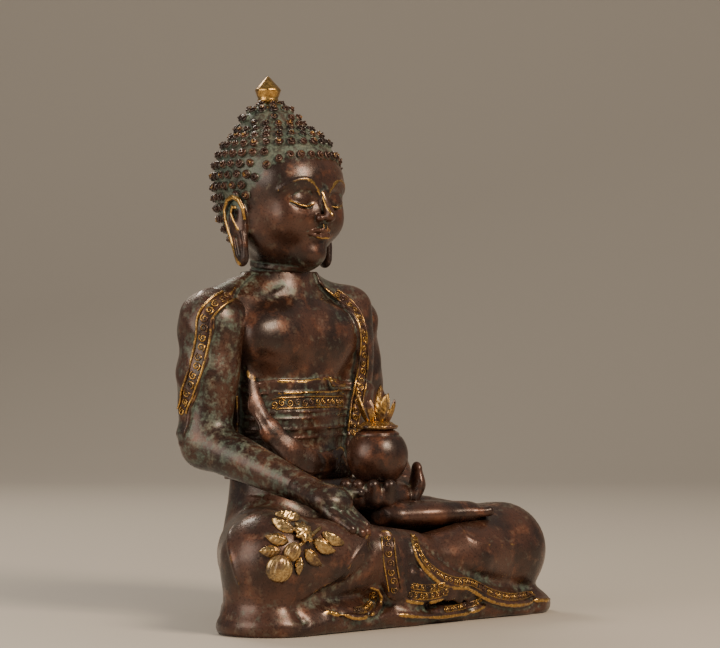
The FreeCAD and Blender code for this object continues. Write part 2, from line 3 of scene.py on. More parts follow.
import bmesh
import bpy
import numpy as np
import openvdb
from mathutils import Euler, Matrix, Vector


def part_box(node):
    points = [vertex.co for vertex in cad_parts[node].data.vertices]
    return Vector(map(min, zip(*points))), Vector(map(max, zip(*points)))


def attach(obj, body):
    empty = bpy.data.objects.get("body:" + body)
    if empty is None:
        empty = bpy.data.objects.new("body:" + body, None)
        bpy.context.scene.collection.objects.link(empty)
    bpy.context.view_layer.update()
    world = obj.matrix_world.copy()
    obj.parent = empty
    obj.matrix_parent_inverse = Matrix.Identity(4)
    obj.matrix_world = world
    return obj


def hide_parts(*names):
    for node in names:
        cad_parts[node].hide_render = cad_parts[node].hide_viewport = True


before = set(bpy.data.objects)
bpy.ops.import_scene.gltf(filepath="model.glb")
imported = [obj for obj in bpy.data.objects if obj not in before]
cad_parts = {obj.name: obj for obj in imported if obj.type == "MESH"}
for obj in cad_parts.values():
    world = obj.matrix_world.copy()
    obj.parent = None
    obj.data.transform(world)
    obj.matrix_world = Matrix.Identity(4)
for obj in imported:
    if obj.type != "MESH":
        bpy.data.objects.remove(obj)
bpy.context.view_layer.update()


# ---- Camera -------------------------------------------------------------------------------------
# Looks at the figure's right front, level with the shoulders, from just under two metres.
def middle(node):
    """Middle of a CAD node's box, in millimetres in the row frame."""
    low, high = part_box(node)
    return (np.array(low) + np.array(high)) * 500.0


knot_back = 61.0  # the top-knot's axis behind the middle of the seat
finial_mid = middle("crown_finial")
origin = np.array([finial_mid[0], finial_mid[1] - knot_back, 0.0])  # middle of the seat, on the floor

camera_distance, camera_shift, camera_height = 1.892, 0.0148, 0.180  # metres
around = math.radians(-45)
camera_right = Vector((math.cos(around), math.sin(around), 0))
camera_back = Vector((math.sin(around), -math.cos(around), 0))
camera = bpy.data.objects.new("camera", bpy.data.cameras.new("camera"))
aim = Vector(origin * 0.001) + camera_back * camera_distance + camera_right * camera_shift
camera.location = aim + Vector((0, 0, camera_height))
camera.rotation_euler = (-camera_back).to_track_quat("-Z", "Y").to_euler()
camera.data.lens = 153.7
camera.data.sensor_width = 36
camera.data.clip_start = 0.05
camera.data.clip_end = 20
bpy.context.scene.collection.objects.link(camera)
bpy.context.scene.camera = camera


# ---- Floor and light ----------------------------------------------------------------------------
# Plain pale floor that curves up behind. Seen from the camera, the strongest light stands at the front
# right, a weaker and broader one at the front left, and one behind on the left lights the outline.
def colour(code):
    """Linear colour of an sRGB hex code."""
    value = [int(code[i : i + 2], 16) / 255 for i in (1, 3, 5)]
    return tuple(c / 12.92 if c <= 0.04045 else ((c + 0.055) / 1.055) ** 2.4 for c in value) + (1.0,)


def add(tree, kind, settings=None, **links):
    """A node with its settings, and its inputs given as sockets or values."""
    node = tree.nodes.new(kind)
    for key, value in (settings or {}).items():
        setattr(node, key, value)
    for key, value in links.items():
        index = int(key[1:]) if key[0] == "i" and key[1:].isdigit() else key.replace("_", " ")
        socket = node.inputs[index]
        if isinstance(value, bpy.types.NodeSocket):
            tree.links.new(value, socket)
        else:
            socket.default_value = value
    return node


def plain_material(name, code, rough):
    material = bpy.data.materials.new(name)
    material.use_nodes = True
    shader = material.node_tree.nodes["Principled BSDF"]
    shader.inputs["Base Color"].default_value = colour(code)
    shader.inputs["Roughness"].default_value = rough
    return material


def new_object(name, vertices, faces, material=None, smooth=True):
    mesh = bpy.data.meshes.new(name)
    mesh.from_pydata([tuple(v) for v in vertices], [], [tuple(f) for f in faces])
    mesh.update()
    mesh.shade_smooth() if smooth else mesh.shade_flat()
    if material:
        mesh.materials.append(material)
    obj = bpy.data.objects.new(name, mesh)
    bpy.context.scene.collection.objects.link(obj)
    return obj


def build_floor():
    side, rise = 4.0, 2.5
    profile = [(-side, 0.0)]
    for step in range(13):
        turn = math.radians(90 * step / 12)
        profile.append((1.6 + 0.9 * math.sin(turn), 0.9 - 0.9 * math.cos(turn)))
    profile.append((2.5, rise))
    forward = -camera_back
    points, faces = [], []
    for away, height in profile:
        for across in (-side, side):
            p = forward * away + camera_right * across
            points.append((p.x, p.y, height))
    for k in range(len(profile) - 1):
        faces.append((2 * k, 2 * k + 1, 2 * k + 3, 2 * k + 2))
    floor = new_object("floor", points, faces, plain_material("floor", "#b9b2a8", 0.6))


def area_light(name, right, back, height, size, power, code):
    light = bpy.data.lights.new(name, "AREA")
    light.size = size
    light.energy = power
    light.color = colour(code)[:3]
    obj = bpy.data.objects.new(name, light)
    obj.location = camera_right * right + camera_back * back + Vector((0, 0, height))
    target = Vector((0, 0, 0.17))
    obj.rotation_euler = (target - obj.location).to_track_quat("-Z", "Y").to_euler()
    bpy.context.scene.collection.objects.link(obj)


build_floor()
area_light("key", 0.95, 0.95, 1.15, 0.6, 30, "#ffe8cc")
area_light("fill", -1.3, 1.0, 0.7, 1.1, 15, "#fff0df")
area_light("rim", -0.6, -1.1, 1.2, 0.5, 12, "#fff2e0")
world = bpy.data.worlds.new("studio")
world.use_nodes = True
world.node_tree.nodes["Background"].inputs[0].default_value = colour("#c9c6c2")
world.node_tree.nodes["Background"].inputs[1].default_value = 0.45
bpy.context.scene.world = world


# ---- Head casting -------------------------------------------------------------------------------
# Cast brass with the neck, ears and top-knot in one. Modelled like clay: rounded masses are blended and
# cut on a grid of distances, and the surface is taken from it. The face is a calm one of the maker's own.
def soft_min(a, b, blend):
    if blend <= 0:
        return np.minimum(a, b)
    h = np.maximum(blend - np.abs(a - b), 0) / blend
    return np.minimum(a, b) - h * h * blend * 0.25


def smooth_step(value, low, high):
    t = np.clip((value - low) / (high - low), 0, 1)
    return t * t * (3 - 2 * t)


class Clay:
    """Distances in millimetres round a form, negative inside, on an even grid."""

    def __init__(self, low, high, cell):
        self.cell = cell * 1.0
        self.low = np.array(low, np.float32)
        counts = np.ceil((np.array(high) - np.array(low)) / self.cell).astype(int) + 1
        self.axes = [
            (self.low[i] + self.cell * np.arange(counts[i])).astype(np.float32) for i in range(3)
        ]
        self.field = np.full(counts, 50, np.float32)
        self.gilded = []
        self.damp = None
        self.calm = None

    def window(self, low, high, pad):
        slices = []
        for i in range(3):
            first = max(int((low[i] - pad - self.low[i]) // self.cell), 0)
            last = min(int((high[i] + pad - self.low[i]) // self.cell) + 2, self.field.shape[i])
            if first >= last:
                return None
            slices.append(slice(first, last))
        return tuple(slices)

    def grid(self, slices):
        x, y, z = (self.axes[i][slices[i]] for i in range(3))
        return x[:, None, None], y[None, :, None], z[None, None, :]

    def apply(self, distance, low, high, blend=0.0, cut=False):
        slices = self.window(low, high, blend + 4)
        if slices is None:
            return
        d = np.asarray(distance(*self.grid(slices)), np.float32)
        old = self.field[slices]
        self.field[slices] = -soft_min(-old, d, blend) if cut else soft_min(old, d, blend)

    def ball(self, centre, radii, blend=0.0, turn=None, cut=False):
        radii = np.array([radii] * 3 if np.isscalar(radii) else radii, float)
        turned = None if turn is None else np.array(Euler([math.radians(a) for a in turn]).to_matrix()).T

        def distance(x, y, z):
            p = [x - centre[0], y - centre[1], z - centre[2]]
            if turned is not None:
                p = [row[0] * p[0] + row[1] * p[1] + row[2] * p[2] for row in turned]
            near = np.sqrt(sum((q / r) ** 2 for q, r in zip(p, radii)))
            slope = np.sqrt(sum((q / r**2) ** 2 for q, r in zip(p, radii)))
            return near * (near - 1) / np.maximum(slope, 1e-6)

        reach = radii.max()
        centre = np.array(centre, float)
        self.apply(distance, centre - reach, centre + reach, blend, cut)

    def limb(self, points, radii, blend=0.0, cut=False, inner=0.0, flat=None):
        """Rounded, tapered run through points. flat=(normal, share) squashes it along normal."""
        points = [np.array(p, float) for p in points]
        radii = [radii] * len(points) if np.isscalar(radii) else radii

        def distance(x, y, z):
            best = None
            for a, b, ra, rb in zip(points, points[1:], radii, radii[1:]):
                along = b - a
                length = max(float(along @ along), 1e-6)
                t = np.clip(
                    ((x - a[0]) * along[0] + (y - a[1]) * along[1] + (z - a[2]) * along[2]) / length, 0, 1
                )
                t = t.astype(np.float32)
                dx, dy, dz = x - a[0] - t * along[0], y - a[1] - t * along[1], z - a[2] - t * along[2]
                square = dx * dx + dy * dy + dz * dz
                if flat is not None:
                    n, share = flat
                    out = dx * n[0] + dy * n[1] + dz * n[2]
                    square = square + out * out * (1 / share**2 - 1)
                d = np.sqrt(square) - (ra + (rb - ra) * t)
                if flat is not None:
                    d = d * flat[1] ** 0.5
                best = d if best is None else soft_min(best, d, inner)
            return best

        stack, reach = np.array(points), max(radii)
        self.apply(distance, stack.min(0) - reach, stack.max(0) + reach, blend, cut)

    def plane(self, point, normal, blend=0.0):
        """Cuts away the side that normal points to."""
        n = np.array(normal, float) / np.linalg.norm(normal)
        x, y, z = self.grid((slice(None),) * 3)
        d = ((x - point[0]) * n[0] + (y - point[1]) * n[1] + (z - point[2]) * n[2]).astype(np.float32)
        self.field = -soft_min(-self.field, -d, blend)

    def raised(self, height, low, high):
        """Builds the surface out by height(x, y, z) millimetres inside a box."""
        slices = self.window(low, high, 0)
        if slices is not None:
            self.field[slices] -= np.asarray(height(*self.grid(slices)), np.float32)

    def line(self, points, height, width):
        """A soft ridge, or a groove if height is negative, along points."""
        points = [np.array(p, float) for p in points]
        stack = np.array(points)

        def relief(x, y, z):
            best = np.float32(1e6)
            for a, b in zip(points, points[1:]):
                along = b - a
                length = max(float(along @ along), 1e-6)
                t = np.clip(
                    ((x - a[0]) * along[0] + (y - a[1]) * along[1] + (z - a[2]) * along[2]) / length, 0, 1
                )
                dx, dy, dz = x - a[0] - t * along[0], y - a[1] - t * along[1], z - a[2] - t * along[2]
                best = np.minimum(best, dx * dx + dy * dy + dz * dz)
            return height * np.exp(-best / width**2)

        self.raised(relief, stack.min(0) - 3 * width, stack.max(0) + 3 * width)

    def crest(self, points, height, width, gilt=0.0):
        """A ridge along points laid on the surface. gilt is the half width rubbed bright."""
        run = self.settle(smooth_run(points, 2.0))[0]
        if height:
            self.line(run[:: 1 + len(run) // 30], height, width)
        if gilt:
            self.gilded.append((run, gilt))

    def read(self, points, field=None):
        """Field values at points, between grid places."""
        field = self.field if field is None else field
        place = (points - self.low) / self.cell
        base = np.clip(np.floor(place).astype(int), 0, np.array(field.shape) - 2)
        part = np.clip(place - base, 0, 1)
        total = np.zeros(len(points))
        for corner in range(8):
            step = [(corner >> i) & 1 for i in range(3)]
            share = np.ones(len(points))
            for i in range(3):
                share = share * (part[:, i] if step[i] else 1 - part[:, i])
            total += share * field[base[:, 0] + step[0], base[:, 1] + step[1], base[:, 2] + step[2]]
        return total

    def slope(self, points):
        step = self.cell
        parts = []
        for i in range(3):
            move = np.zeros(3)
            move[i] = step
            parts.append(self.read(points + move) - self.read(points - move))
        grad = np.stack(parts, 1)
        return grad / np.maximum(np.linalg.norm(grad, axis=1, keepdims=True), 1e-6)

    def settle(self, points, toward=None, lift=0.0):
        """Points moved on to the surface, along toward or straight down on it, and their normals."""
        points = np.array(points, float)
        for _ in range(24):
            value = self.read(points)[:, None] - lift
            step = self.slope(points) if toward is None else -np.array(toward, float)[None, :]
            points = points - step * np.clip(value, -4, 4) * 0.8
        return points, self.slope(points)

    def struck(self, across, up, lift=0.0):
        """First places met going straight back from in front of the figure's right, with their normals.

        across runs to the right and up is height, in millimetres from the middle of the seat's floor."""
        along = np.array([math.sqrt(0.5), math.sqrt(0.5), 0])
        right = np.array([math.sqrt(0.5), -math.sqrt(0.5), 0])
        points = np.outer(np.ravel(across), right) - 120 * along
        points[:, 2] = np.ravel(up)
        for _ in range(160):
            points = points + along * np.clip(self.read(points) - lift, -2, 3)[:, None] * 0.7
        return points, self.slope(points)

    def mesh(self, name, material, adapt=0.02):
        """Closed mesh of the form with its edge and hollow measures stored on the points."""
        near = np.clip(self.field, -3, 3)
        for axis in range(3):
            for end in (0, -1):
                index = [slice(None)] * 3
                index[axis] = end
                near[tuple(index)] = 3
        grid = openvdb.FloatGrid(3.0)
        grid.copyFromArray(np.ascontiguousarray(near))
        points, triangles, quads = grid.convertToPolygons(0.0, adapt)
        points = points * self.cell + self.low
        fine = softened(near, 2)
        broad = softened(near[::2, ::2, ::2], 5)
        faces = [tuple(f) for f in triangles[:, ::-1].tolist()]
        faces += [tuple(f) for f in quads[:, ::-1].tolist()]
        obj = new_object(name, (points + origin) * 0.001, faces, material)
        edge = self.read(points, fine) / (0.25 * self.cell)
        store(obj, "edge", self.calm(points, edge) if self.calm else edge)
        coarse = Clay.__new__(Clay)
        coarse.low, coarse.cell, coarse.field = self.low, self.cell * 2, broad
        store(obj, "swell", coarse.read(points) / (1.6 * self.cell))
        shine = np.zeros(len(points))
        for run, width in self.gilded:
            near_run = np.flatnonzero(
                np.all((points > run.min(0) - 4) & (points < run.max(0) + 4), axis=1)
            )
            for a, b in zip(run, run[1:]):
                along = b - a
                away = points[near_run] - a
                t = np.clip(away @ along / max(along @ along, 1e-6), 0, 1)[:, None]
                gap = np.sum((away - t * along) ** 2, axis=1)
                shine[near_run] = np.maximum(shine[near_run], np.exp(-gap / width**2))
        store(obj, "gilding", shine)
        store(obj, "damp", self.damp(points) if self.damp else np.zeros(len(points)))
        return obj


def smooth_run(points, step):
    """Even places on a rounded line through points."""
    p = np.array([points[0]] + list(points) + [points[-1]], float)
    out = []
    for a, b, c, d in zip(p, p[1:], p[2:], p[3:]):
        count = max(int(np.linalg.norm(c - b) / step), 1)
        for k in range(count):
            t = k / count
            bend = (c - a) * t + (2 * a - 5 * b + 4 * c - d) * t**2 + (3 * b - a - 3 * c + d) * t**3
            out.append(b + bend / 2)
    out.append(p[-1])
    return np.array(out)


def softened(field, passes):
    for _ in range(passes):
        for axis in range(3):
            field = (np.roll(field, 1, axis) + 2 * field + np.roll(field, -1, axis)) * 0.25
    return field


def store(obj, name, values):
    layer = obj.data.attributes.new(name, "FLOAT", "POINT")
    layer.data.foreach_set("value", np.clip(values, -4, 4).astype(np.float32))


def patina(name, bright, green, seed, metal=("#a07838", "#dcb066")):
    """Waxed brown patina over brass: worn to bright metal on edges, green where grime and damp stay, with
    painted shade near black in the deepest lines.

    bright is how much metal shows (0 to 1), green how much verdigris."""
    material = bpy.data.materials.new(name)
    material.use_nodes = True
    tree = material.node_tree
    shader = tree.nodes["Principled BSDF"]
    place = add(tree, "ShaderNodeTexCoord").outputs["Object"]
    shifted = add(
        tree, "ShaderNodeVectorMath", {"operation": "ADD"}, i0=place, i1=(seed * 0.37, seed * 0.11, 0)
    ).outputs[0]
    edge = add(tree, "ShaderNodeAttribute", {"attribute_name": "edge"}).outputs["Fac"]
    swell = add(tree, "ShaderNodeAttribute", {"attribute_name": "swell"}).outputs["Fac"]
    gilding = add(tree, "ShaderNodeAttribute", {"attribute_name": "gilding"}).outputs["Fac"]
    wet = add(tree, "ShaderNodeAttribute", {"attribute_name": "damp"}).outputs["Fac"]

    def noise(per_mm, detail, rough=0.55):
        return add(
            tree,
            "ShaderNodeTexNoise",
            None,
            Vector=shifted,
            Scale=per_mm * 1000,
            Detail=detail,
            Roughness=rough,
        ).outputs["Fac"]

    def mix(factor, a, b):
        node = add(tree, "ShaderNodeMix", {"data_type": "RGBA"})
        for socket, value in ((node.inputs[0], factor), (node.inputs[6], a), (node.inputs[7], b)):
            if isinstance(value, bpy.types.NodeSocket):
                tree.links.new(value, socket)
            else:
                socket.default_value = value
        return node.outputs[2]

    def band(value, low, high, to_low=0.0, to_high=1.0):
        return add(
            tree,
            "ShaderNodeMapRange",
            {"interpolation_type": "SMOOTHSTEP"},
            Value=value,
            From_Min=low,
            From_Max=high,
            To_Min=to_low,
            To_Max=to_high,
        ).outputs[0]

    def math_node(kind, a, b):
        return add(tree, "ShaderNodeMath", {"operation": kind}, i0=a, i1=b).outputs[0]

    clouds = noise(0.035, 5)
    blotch = noise(0.11, 6, 0.6)
    mottle = noise(0.22, 7, 0.66)
    grain = noise(0.7, 6, 0.65)
    speck = noise(1.6, 3)
    brown = mix(band(clouds, 0.38, 0.62), colour("#2f201a"), colour("#523528"))
    brown = mix(band(blotch, 0.50, 0.72, 0.0, 0.75), brown, colour("#76472f"))
    brown = mix(band(grain, 0.30, 0.52, 0.5, 0.0), brown, colour("#2a1a13"))
    # green stays low in the relief and in large soft clouds
    hollow = math_node("ADD", math_node("MULTIPLY", edge, -0.55), math_node("MULTIPLY", swell, -0.5))
    damp = math_node("ADD", hollow, band(mottle, 0.34, 0.68, -0.8, 0.5))
    damp = math_node("ADD", damp, wet)
    green_share = band(math_node("ADD", damp, (green - 0.5) * 1.6), -0.15, 1.15, 0.0, 0.60)
    verdigris = mix(band(grain, 0.35, 0.65), colour("#40574c"), colour("#768c7b"))
    base = mix(green_share, brown, verdigris)
    # painted shade: near-black colour laid into the deepest lines, where shade falls
    painted_shade_in_lines = band(edge, -1.8, -0.5, 0.85, 0.0)
    base = mix(painted_shade_in_lines, base, colour("#120d0b"))
    # bright metal on what hands and cloths rub
    rubbed = math_node("ADD", edge, band(blotch, 0.30, 0.72, -0.7, 0.7))
    rubbed = math_node("ADD", rubbed, math_node("MULTIPLY", gilding, 3.2))
    metal_share = band(math_node("ADD", rubbed, (bright - 0.5) * 3.0), 1.1, 2.1)
    gold = mix(band(grain, 0.35, 0.65), colour(metal[0]), colour(metal[1]))
    base = mix(metal_share, base, gold)
    tree.links.new(base, shader.inputs["Base Color"])
    metallic = math_node(
        "SUBTRACT", band(metal_share, 0.0, 1.0, 0.40, 1.0), math_node("MULTIPLY", green_share, 0.5)
    )
    tree.links.new(math_node("MAXIMUM", metallic, 0.0), shader.inputs["Metallic"])
    rough = math_node("ADD", band(green_share, 0.0, 0.8, 0.30, 0.60), band(grain, 0.3, 0.7, -0.06, 0.10))
    rough = math_node("SUBTRACT", rough, math_node("MULTIPLY", metal_share, 0.08))
    tree.links.new(rough, shader.inputs["Roughness"])
    shader.inputs["Coat Weight"].default_value = 0.25
    shader.inputs["Coat Roughness"].default_value = 0.25
    height = math_node("ADD", math_node("MULTIPLY", grain, 0.6), math_node("MULTIPLY", speck, 0.4))
    bump = add(tree, "ShaderNodeBump", None, Height=height, Strength=0.35, Distance=0.0004)
    tree.links.new(bump.outputs[0], shader.inputs["Normal"])
    return material


skin = patina("brown_patina", 0.42, 0.40, 1)
green_skin = patina("green_patina", 0.42, 0.72, 2)


def sculpt_head(clay):
    # skull, jaw and neck
    clay.ball((0, 54, 266), (36.5, 39, 35))
    clay.ball((0, 57, 247), (27.5, 27.5, 24), 12)
    clay.ball((0, 43, 246), (28.0, 31.5, 28.5), 14)
    clay.ball((0, 32, 270), (29, 20, 18), 14)
    clay.limb([(0, 50, 200), (0, 50, 232)], [20.0, 18.0], 6)
    clay.ball((0, 22.5, 223.5), (9.5, 8.5, 6.5), 9)
    for side in (-1, 1):
        clay.ball((side * 16.5, 25, 245), (9.5, 9.5, 10), 10)
        clay.limb([(0, 27, 223), (side * 20, 42, 231), (side * 27, 51, 243)], [7, 7, 7], 8)
        # brow, socket, eyeball and lids
        clay.ball((side * 13.5, 8.5, 256.5), (10, 5.5, 5.5), 6, cut=True)
        clay.ball((side * 13.5, 20.2, 256.5), (8.6, 7.0, 6.2), 1.6)
        brow = [(2.5, 11.6, 260.5), (7, 11.2, 266), (14, 12.2, 269), (21, 16, 267.6), (27, 22.5, 262.5)]
        clay.crest([(side * x, y, z) for x, y, z in brow], 1.8, 1.2, 1.0)
        lid = [
            (5.4, 15.6, 254.4), (9, 13.2, 252.9), (13.5, 12.4, 252.4), (18, 14.0, 253.4),
            (22, 17.6, 255.8),
        ]
        clay.limb([(side * x, y, z) for x, y, z in lid], [0.5, 0.8, 0.9, 0.8, 0.5], 0.5)
        clay.crest([(side * x, y, z) for x, y, z in lid], 0.3, 0.6, 0.5)
        slit = [(x, y - 0.3, z - 1.3) for x, y, z in lid]
        clay.line([(side * x, y, z) for x, y, z in slit], -0.75, 0.75)
        lower = [
            (6, 15.2, 252.2), (10, 13.6, 250.6), (13.5, 13.2, 250.1), (18, 14.6, 251.0), (21, 17.4, 253.2)
        ]
        clay.line([(side * x, y, z) for x, y, z in lower], 0.5, 0.9)
        crease = [
            (6, 14.4, 258.6), (10, 12.6, 261.4), (14, 12.6, 262.2), (18, 14.4, 261.2), (22.5, 18.6, 258.4)
        ]
        clay.line([(side * x, y, z) for x, y, z in crease], -0.5, 0.8)
    # nose
    clay.limb([(0, 12.8, 264), (0, 9.0, 255), (0, 5.2, 247.2)], [2.0, 2.5, 3.4], 3.2)
    clay.ball((0, 5.6, 245.9), (3.6, 3.4, 3.2), 1.6)
    for side in (-1, 1):
        clay.ball((side * 4.3, 9.6, 245.4), (2.7, 3.2, 2.5), 1.4)
        clay.ball((side * 2.3, 7.4, 242.6), (1.3, 1.8, 1.0), 0.8, cut=True)
        clay.line([(side * 6.6, 11.4, 246.5), (side * 6.8, 11.6, 243.6)], -0.4, 0.8)
        clay.limb([(side * 1.2, 9.6, 241.5), (side * 1.5, 9.2, 238.6)], 0.6, 1.2)
    # mouth and chin
    upper = [
        (-9.6, 14.6, 236.6), (-3.4, 10.6, 237.8), (0, 10.5, 237.1), (3.4, 10.6, 237.8), (9.6, 14.6, 236.6)
    ]
    clay.limb(upper, [0.5, 1.5, 1.4, 1.5, 0.5], 1.4)
    clay.limb(
        [(-8, 14.2, 235.2), (-3, 10.9, 233.8), (3, 10.9, 233.8), (8, 14.2, 235.2)],
        [0.6, 1.8, 1.8, 0.6],
        1.4,
    )
    mouth = [
        (-10.4, 14.2, 236.9), (-4, 9.4, 235.8), (0, 8.8, 235.6), (4, 9.4, 235.8), (10.4, 14.2, 236.9)
    ]
    clay.line(mouth, -0.8, 0.7)
    clay.line([(-4, 11.5, 229.6), (4, 11.5, 229.6)], -0.9, 2.2)
    clay.ball((0, 12.2, 270.5), 1.5, 0.4)
    clay.crest([(-1.6, 11.5, 262), (-1.5, 9, 257), (-1.3, 6, 251), (-0.8, 3, 247)], 0.5, 0.9, 0.7)
    clay.crest([(-5, 11, 232.8), (0, 9, 232.2), (5, 11, 232.8)], 0.0, 1.0, 0.9)
    for side in (-1, 1):
        sculpt_ear(clay, side)
    # three soft creases of the neck
    for level, depth in ((209.5, 0.8), (214.0, 0.9), (218.5, 0.7)):

        def crease_ring(x, y, z, level=level, depth=depth):
            return -depth * np.exp(-(((z - level - (y - 50) * 0.12) / 0.8) ** 2)) + 0 * x

        clay.raised(crease_ring, (-24, 26, level - 5), (24, 74, level + 5))


def sculpt_ear(clay, side):
    def at(points):
        return [(side * x, y, z) for x, y, z in points]

    clay.ball((side * 35.4, 51, 245), (3.6, 8.0, 13.5), 2.0)
    clay.limb(at([(35.5, 49, 238), (35.8, 46.5, 221)]), [6.4, 5.6], 2.0, flat=((1, 0, 0), 0.5))
    rim = [
        (36.5, 43.0, 245), (37.8, 43.0, 251), (38.5, 46.0, 256.4), (38.8, 51.0, 258.8),
        (38.7, 56.2, 256.8), (38.3, 59.0, 251),
    ]
    rim += [(38.0, 58.6, 245), (37.5, 56.5, 238), (37.0, 53.6, 230), (36.8, 50.6, 222), (36.6, 46.6, 217)]
    clay.limb(at(rim), [1.0, 1.5, 1.7, 1.7, 1.7, 1.6, 1.5, 1.4, 1.3, 1.3, 1.0], 0.8)
    clay.gilded.append((np.array(at([(x + 1.4, y, z) for x, y, z in rim])), 1.5))
    clay.limb(at([(36.6, 46.6, 217), (36.8, 42.8, 221), (37.0, 42.6, 229), (37.4, 44.6, 237)]), 1.2, 0.6)
    clay.ball((side * 40.2, 51.2, 248.5), (3.2, 4.2, 6.2), 1.0, cut=True)
    curl = at(
        [
            (38.0, 49.4, 252), (38.4, 52.4, 252.4), (38.4, 53.4, 248.6), (38.3, 50.6, 243.4),
            (38.0, 47.0, 238.6),
        ]
    )
    clay.limb(curl, 1.1, 0.5)
    clay.gilded.append((np.array([(x + side * 0.9, y, z) for x, y, z in curl]), 0.9))
    clay.limb(at([(38.8, 49.5, 233), (38.8, 46.6, 223)]), 1.5, 0.6, cut=True)


def hairline(x, y):
    """Height of the hair's lower edge, by direction round the head."""
    turn = np.degrees(np.arctan2(np.abs(x), -(y - 52)))
    return np.interp(
        turn,
        [0, 30, 50, 60, 68, 75, 84, 92, 104, 125, 180],
        [282, 282, 277, 271, 265, 257, 251, 250, 241, 229, 225],
    )


def hair_region(x, y, z):
    return (hairline(x, y) - z) * 0.75


def sculpt_hair(clay):
    hair = Clay((-46, 5, 215), (46, 102, 330), clay.cell / (1.0))
    hair.ball((0, 54, 266.5), (37.4, 39.8, 36.0))
    hair.ball((0, 57.5, 247), (28.5, 28.5, 25), 12)
    hair.ball((0, 52.5, 278), (35.8, 37.5, 27), 8)
    hair.ball((0, 59, 298), (19.5, 21.0, 20.5), 5)
    x, y, z = hair.grid((slice(None),) * 3)
    hair.field = np.maximum(hair.field, hair_region(x, y, z).astype(np.float32))
    return hair


def build_head():
    cell = 0.55
    clay = Clay((-46, 0, 203), (46, 102, 330), cell)
    sculpt_head(clay)
    scalp = sculpt_hair(clay)
    # lay the hair's own grid into the head's
    slices = clay.window((-46, 5, 215), (46, 102, 330), 0)
    x, y, z = np.meshgrid(*(clay.axes[i][slices[i]] for i in range(3)), indexing="ij")
    places = np.stack([x.ravel(), y.ravel(), z.ravel()], 1)
    laid = scalp.read(places).reshape(x.shape).astype(np.float32)
    clay.field[slices] = soft_min(clay.field[slices], laid, 0.6)
    clay.plane((0, 50, 206), (0, 0, -1))

    def damp(points):
        x, y, z = points.T
        return 1.15 * smooth_step(z - hairline(x, y), -1, 2) + 0.55 * smooth_step(224 - z, 0, 8)

    def calm(points, edge):
        """The forehead is never rubbed, only the brows are."""
        _, y, z = points.T
        return np.where((y < 32) & (z > 262), np.minimum(edge, 0.6), edge)

    clay.damp = damp
    clay.calm = calm
    head = clay.mesh("head", skin)
    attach(head, "root")
    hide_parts("head_casting", "neck_rivets")
    return clay


head_clay = build_head()


# ---- Curls --------------------------------------------------------------------------------------
# Rows of small snail curls, cast with the head and chased afterwards, over the scalp and the top-knot.
def curl_places(clay):
    """Even rows round the head and the top-knot, each row shifted by half a curl."""
    pitch = 7.5
    starts = []
    for turn in np.radians(np.arange(0, 360, 10.6)):
        x, y = 38 * math.sin(turn), 54 - 40 * math.cos(turn)
        starts.append(np.array([x, y, hairline(x, y) + 3.0]))
    for centre, radius in ((np.array([0, 54, 268]), 39.5), (np.array([0, 59, 298]), 20.5)):
        for row in range(40):
            angle = -62 + row * math.degrees(pitch * 0.9 / radius)
            if angle > 84:
                break
            ring = radius * math.cos(math.radians(angle))
            count = max(int(round(2 * math.pi * ring / pitch)), 1)
            for k in range(count):
                turn = 2 * math.pi * (k + 0.5 * (row % 2)) / count
                away = (
                    ring * math.sin(turn), -ring * math.cos(turn), radius * math.sin(math.radians(angle))
                )
                starts.append(centre + away)
    points, normals = clay.settle(starts)
    keep = []
    for number, (place, start) in enumerate(zip(points, starts)):
        on_ear = abs(place[0]) > 30 and 43 < place[1] < 60 and place[2] < 259
        strayed = np.linalg.norm(place - start) > 7
        off_scalp = place[2] < hairline(place[0], place[1]) + 1.8 or place[2] > 318
        if on_ear or strayed or off_scalp:
            continue
        if keep and np.min(np.sum((points[keep] - place) ** 2, axis=1)) < (0.80 * pitch) ** 2:
            continue
        keep.append(number)
    return points[keep], normals[keep]


def new_tree(name, inputs):
    """Geometry node group with a geometry in and out and the named inputs."""
    tree = bpy.data.node_groups.new(name, "GeometryNodeTree")
    tree.interface.new_socket("Geometry", in_out="INPUT", socket_type="NodeSocketGeometry")
    for label, kind, value in inputs:
        socket = tree.interface.new_socket(label, in_out="INPUT", socket_type=kind)
        if value is not None:
            socket.default_value = value
    tree.interface.new_socket("Geometry", in_out="OUTPUT", socket_type="NodeSocketGeometry")
    return tree, tree.nodes.new("NodeGroupInput").outputs, tree.nodes.new("NodeGroupOutput").inputs


def grown(name, carrier, tree, **values):
    """Runs a geometry node tree on carrier and gives its result as a plain mesh object."""
    modifier = carrier.modifiers.new("grow", "NODES")
    modifier.node_group = tree
    for item in tree.interface.items_tree:
        key = item.name.replace(" ", "_")
        if item.item_type == "SOCKET" and item.in_out == "INPUT" and key in values:
            modifier[item.identifier] = values[key]
    graph = bpy.context.evaluated_depsgraph_get()
    graph.update()
    mesh = bpy.data.meshes.new_from_object(carrier.evaluated_get(graph), depsgraph=graph)
    bpy.data.objects.remove(carrier, do_unlink=True)
    mesh.name = name
    obj = bpy.data.objects.new(name, mesh)
    bpy.context.scene.collection.objects.link(obj)
    return obj


def carrier_of(points, normals, edges=()):
    """Loose points, or a run of them, that carry the direction of the surface under them."""
    mesh = bpy.data.meshes.new("carrier")
    mesh.from_pydata([tuple((p + origin) * 0.001) for p in points], [tuple(e) for e in edges], [])
    layer = mesh.attributes.new("out", "FLOAT_VECTOR", "POINT")
    layer.data.foreach_set("vector", np.asarray(normals, np.float32).ravel())
    obj = bpy.data.objects.new("carrier", mesh)
    bpy.context.scene.collection.objects.link(obj)
    return obj


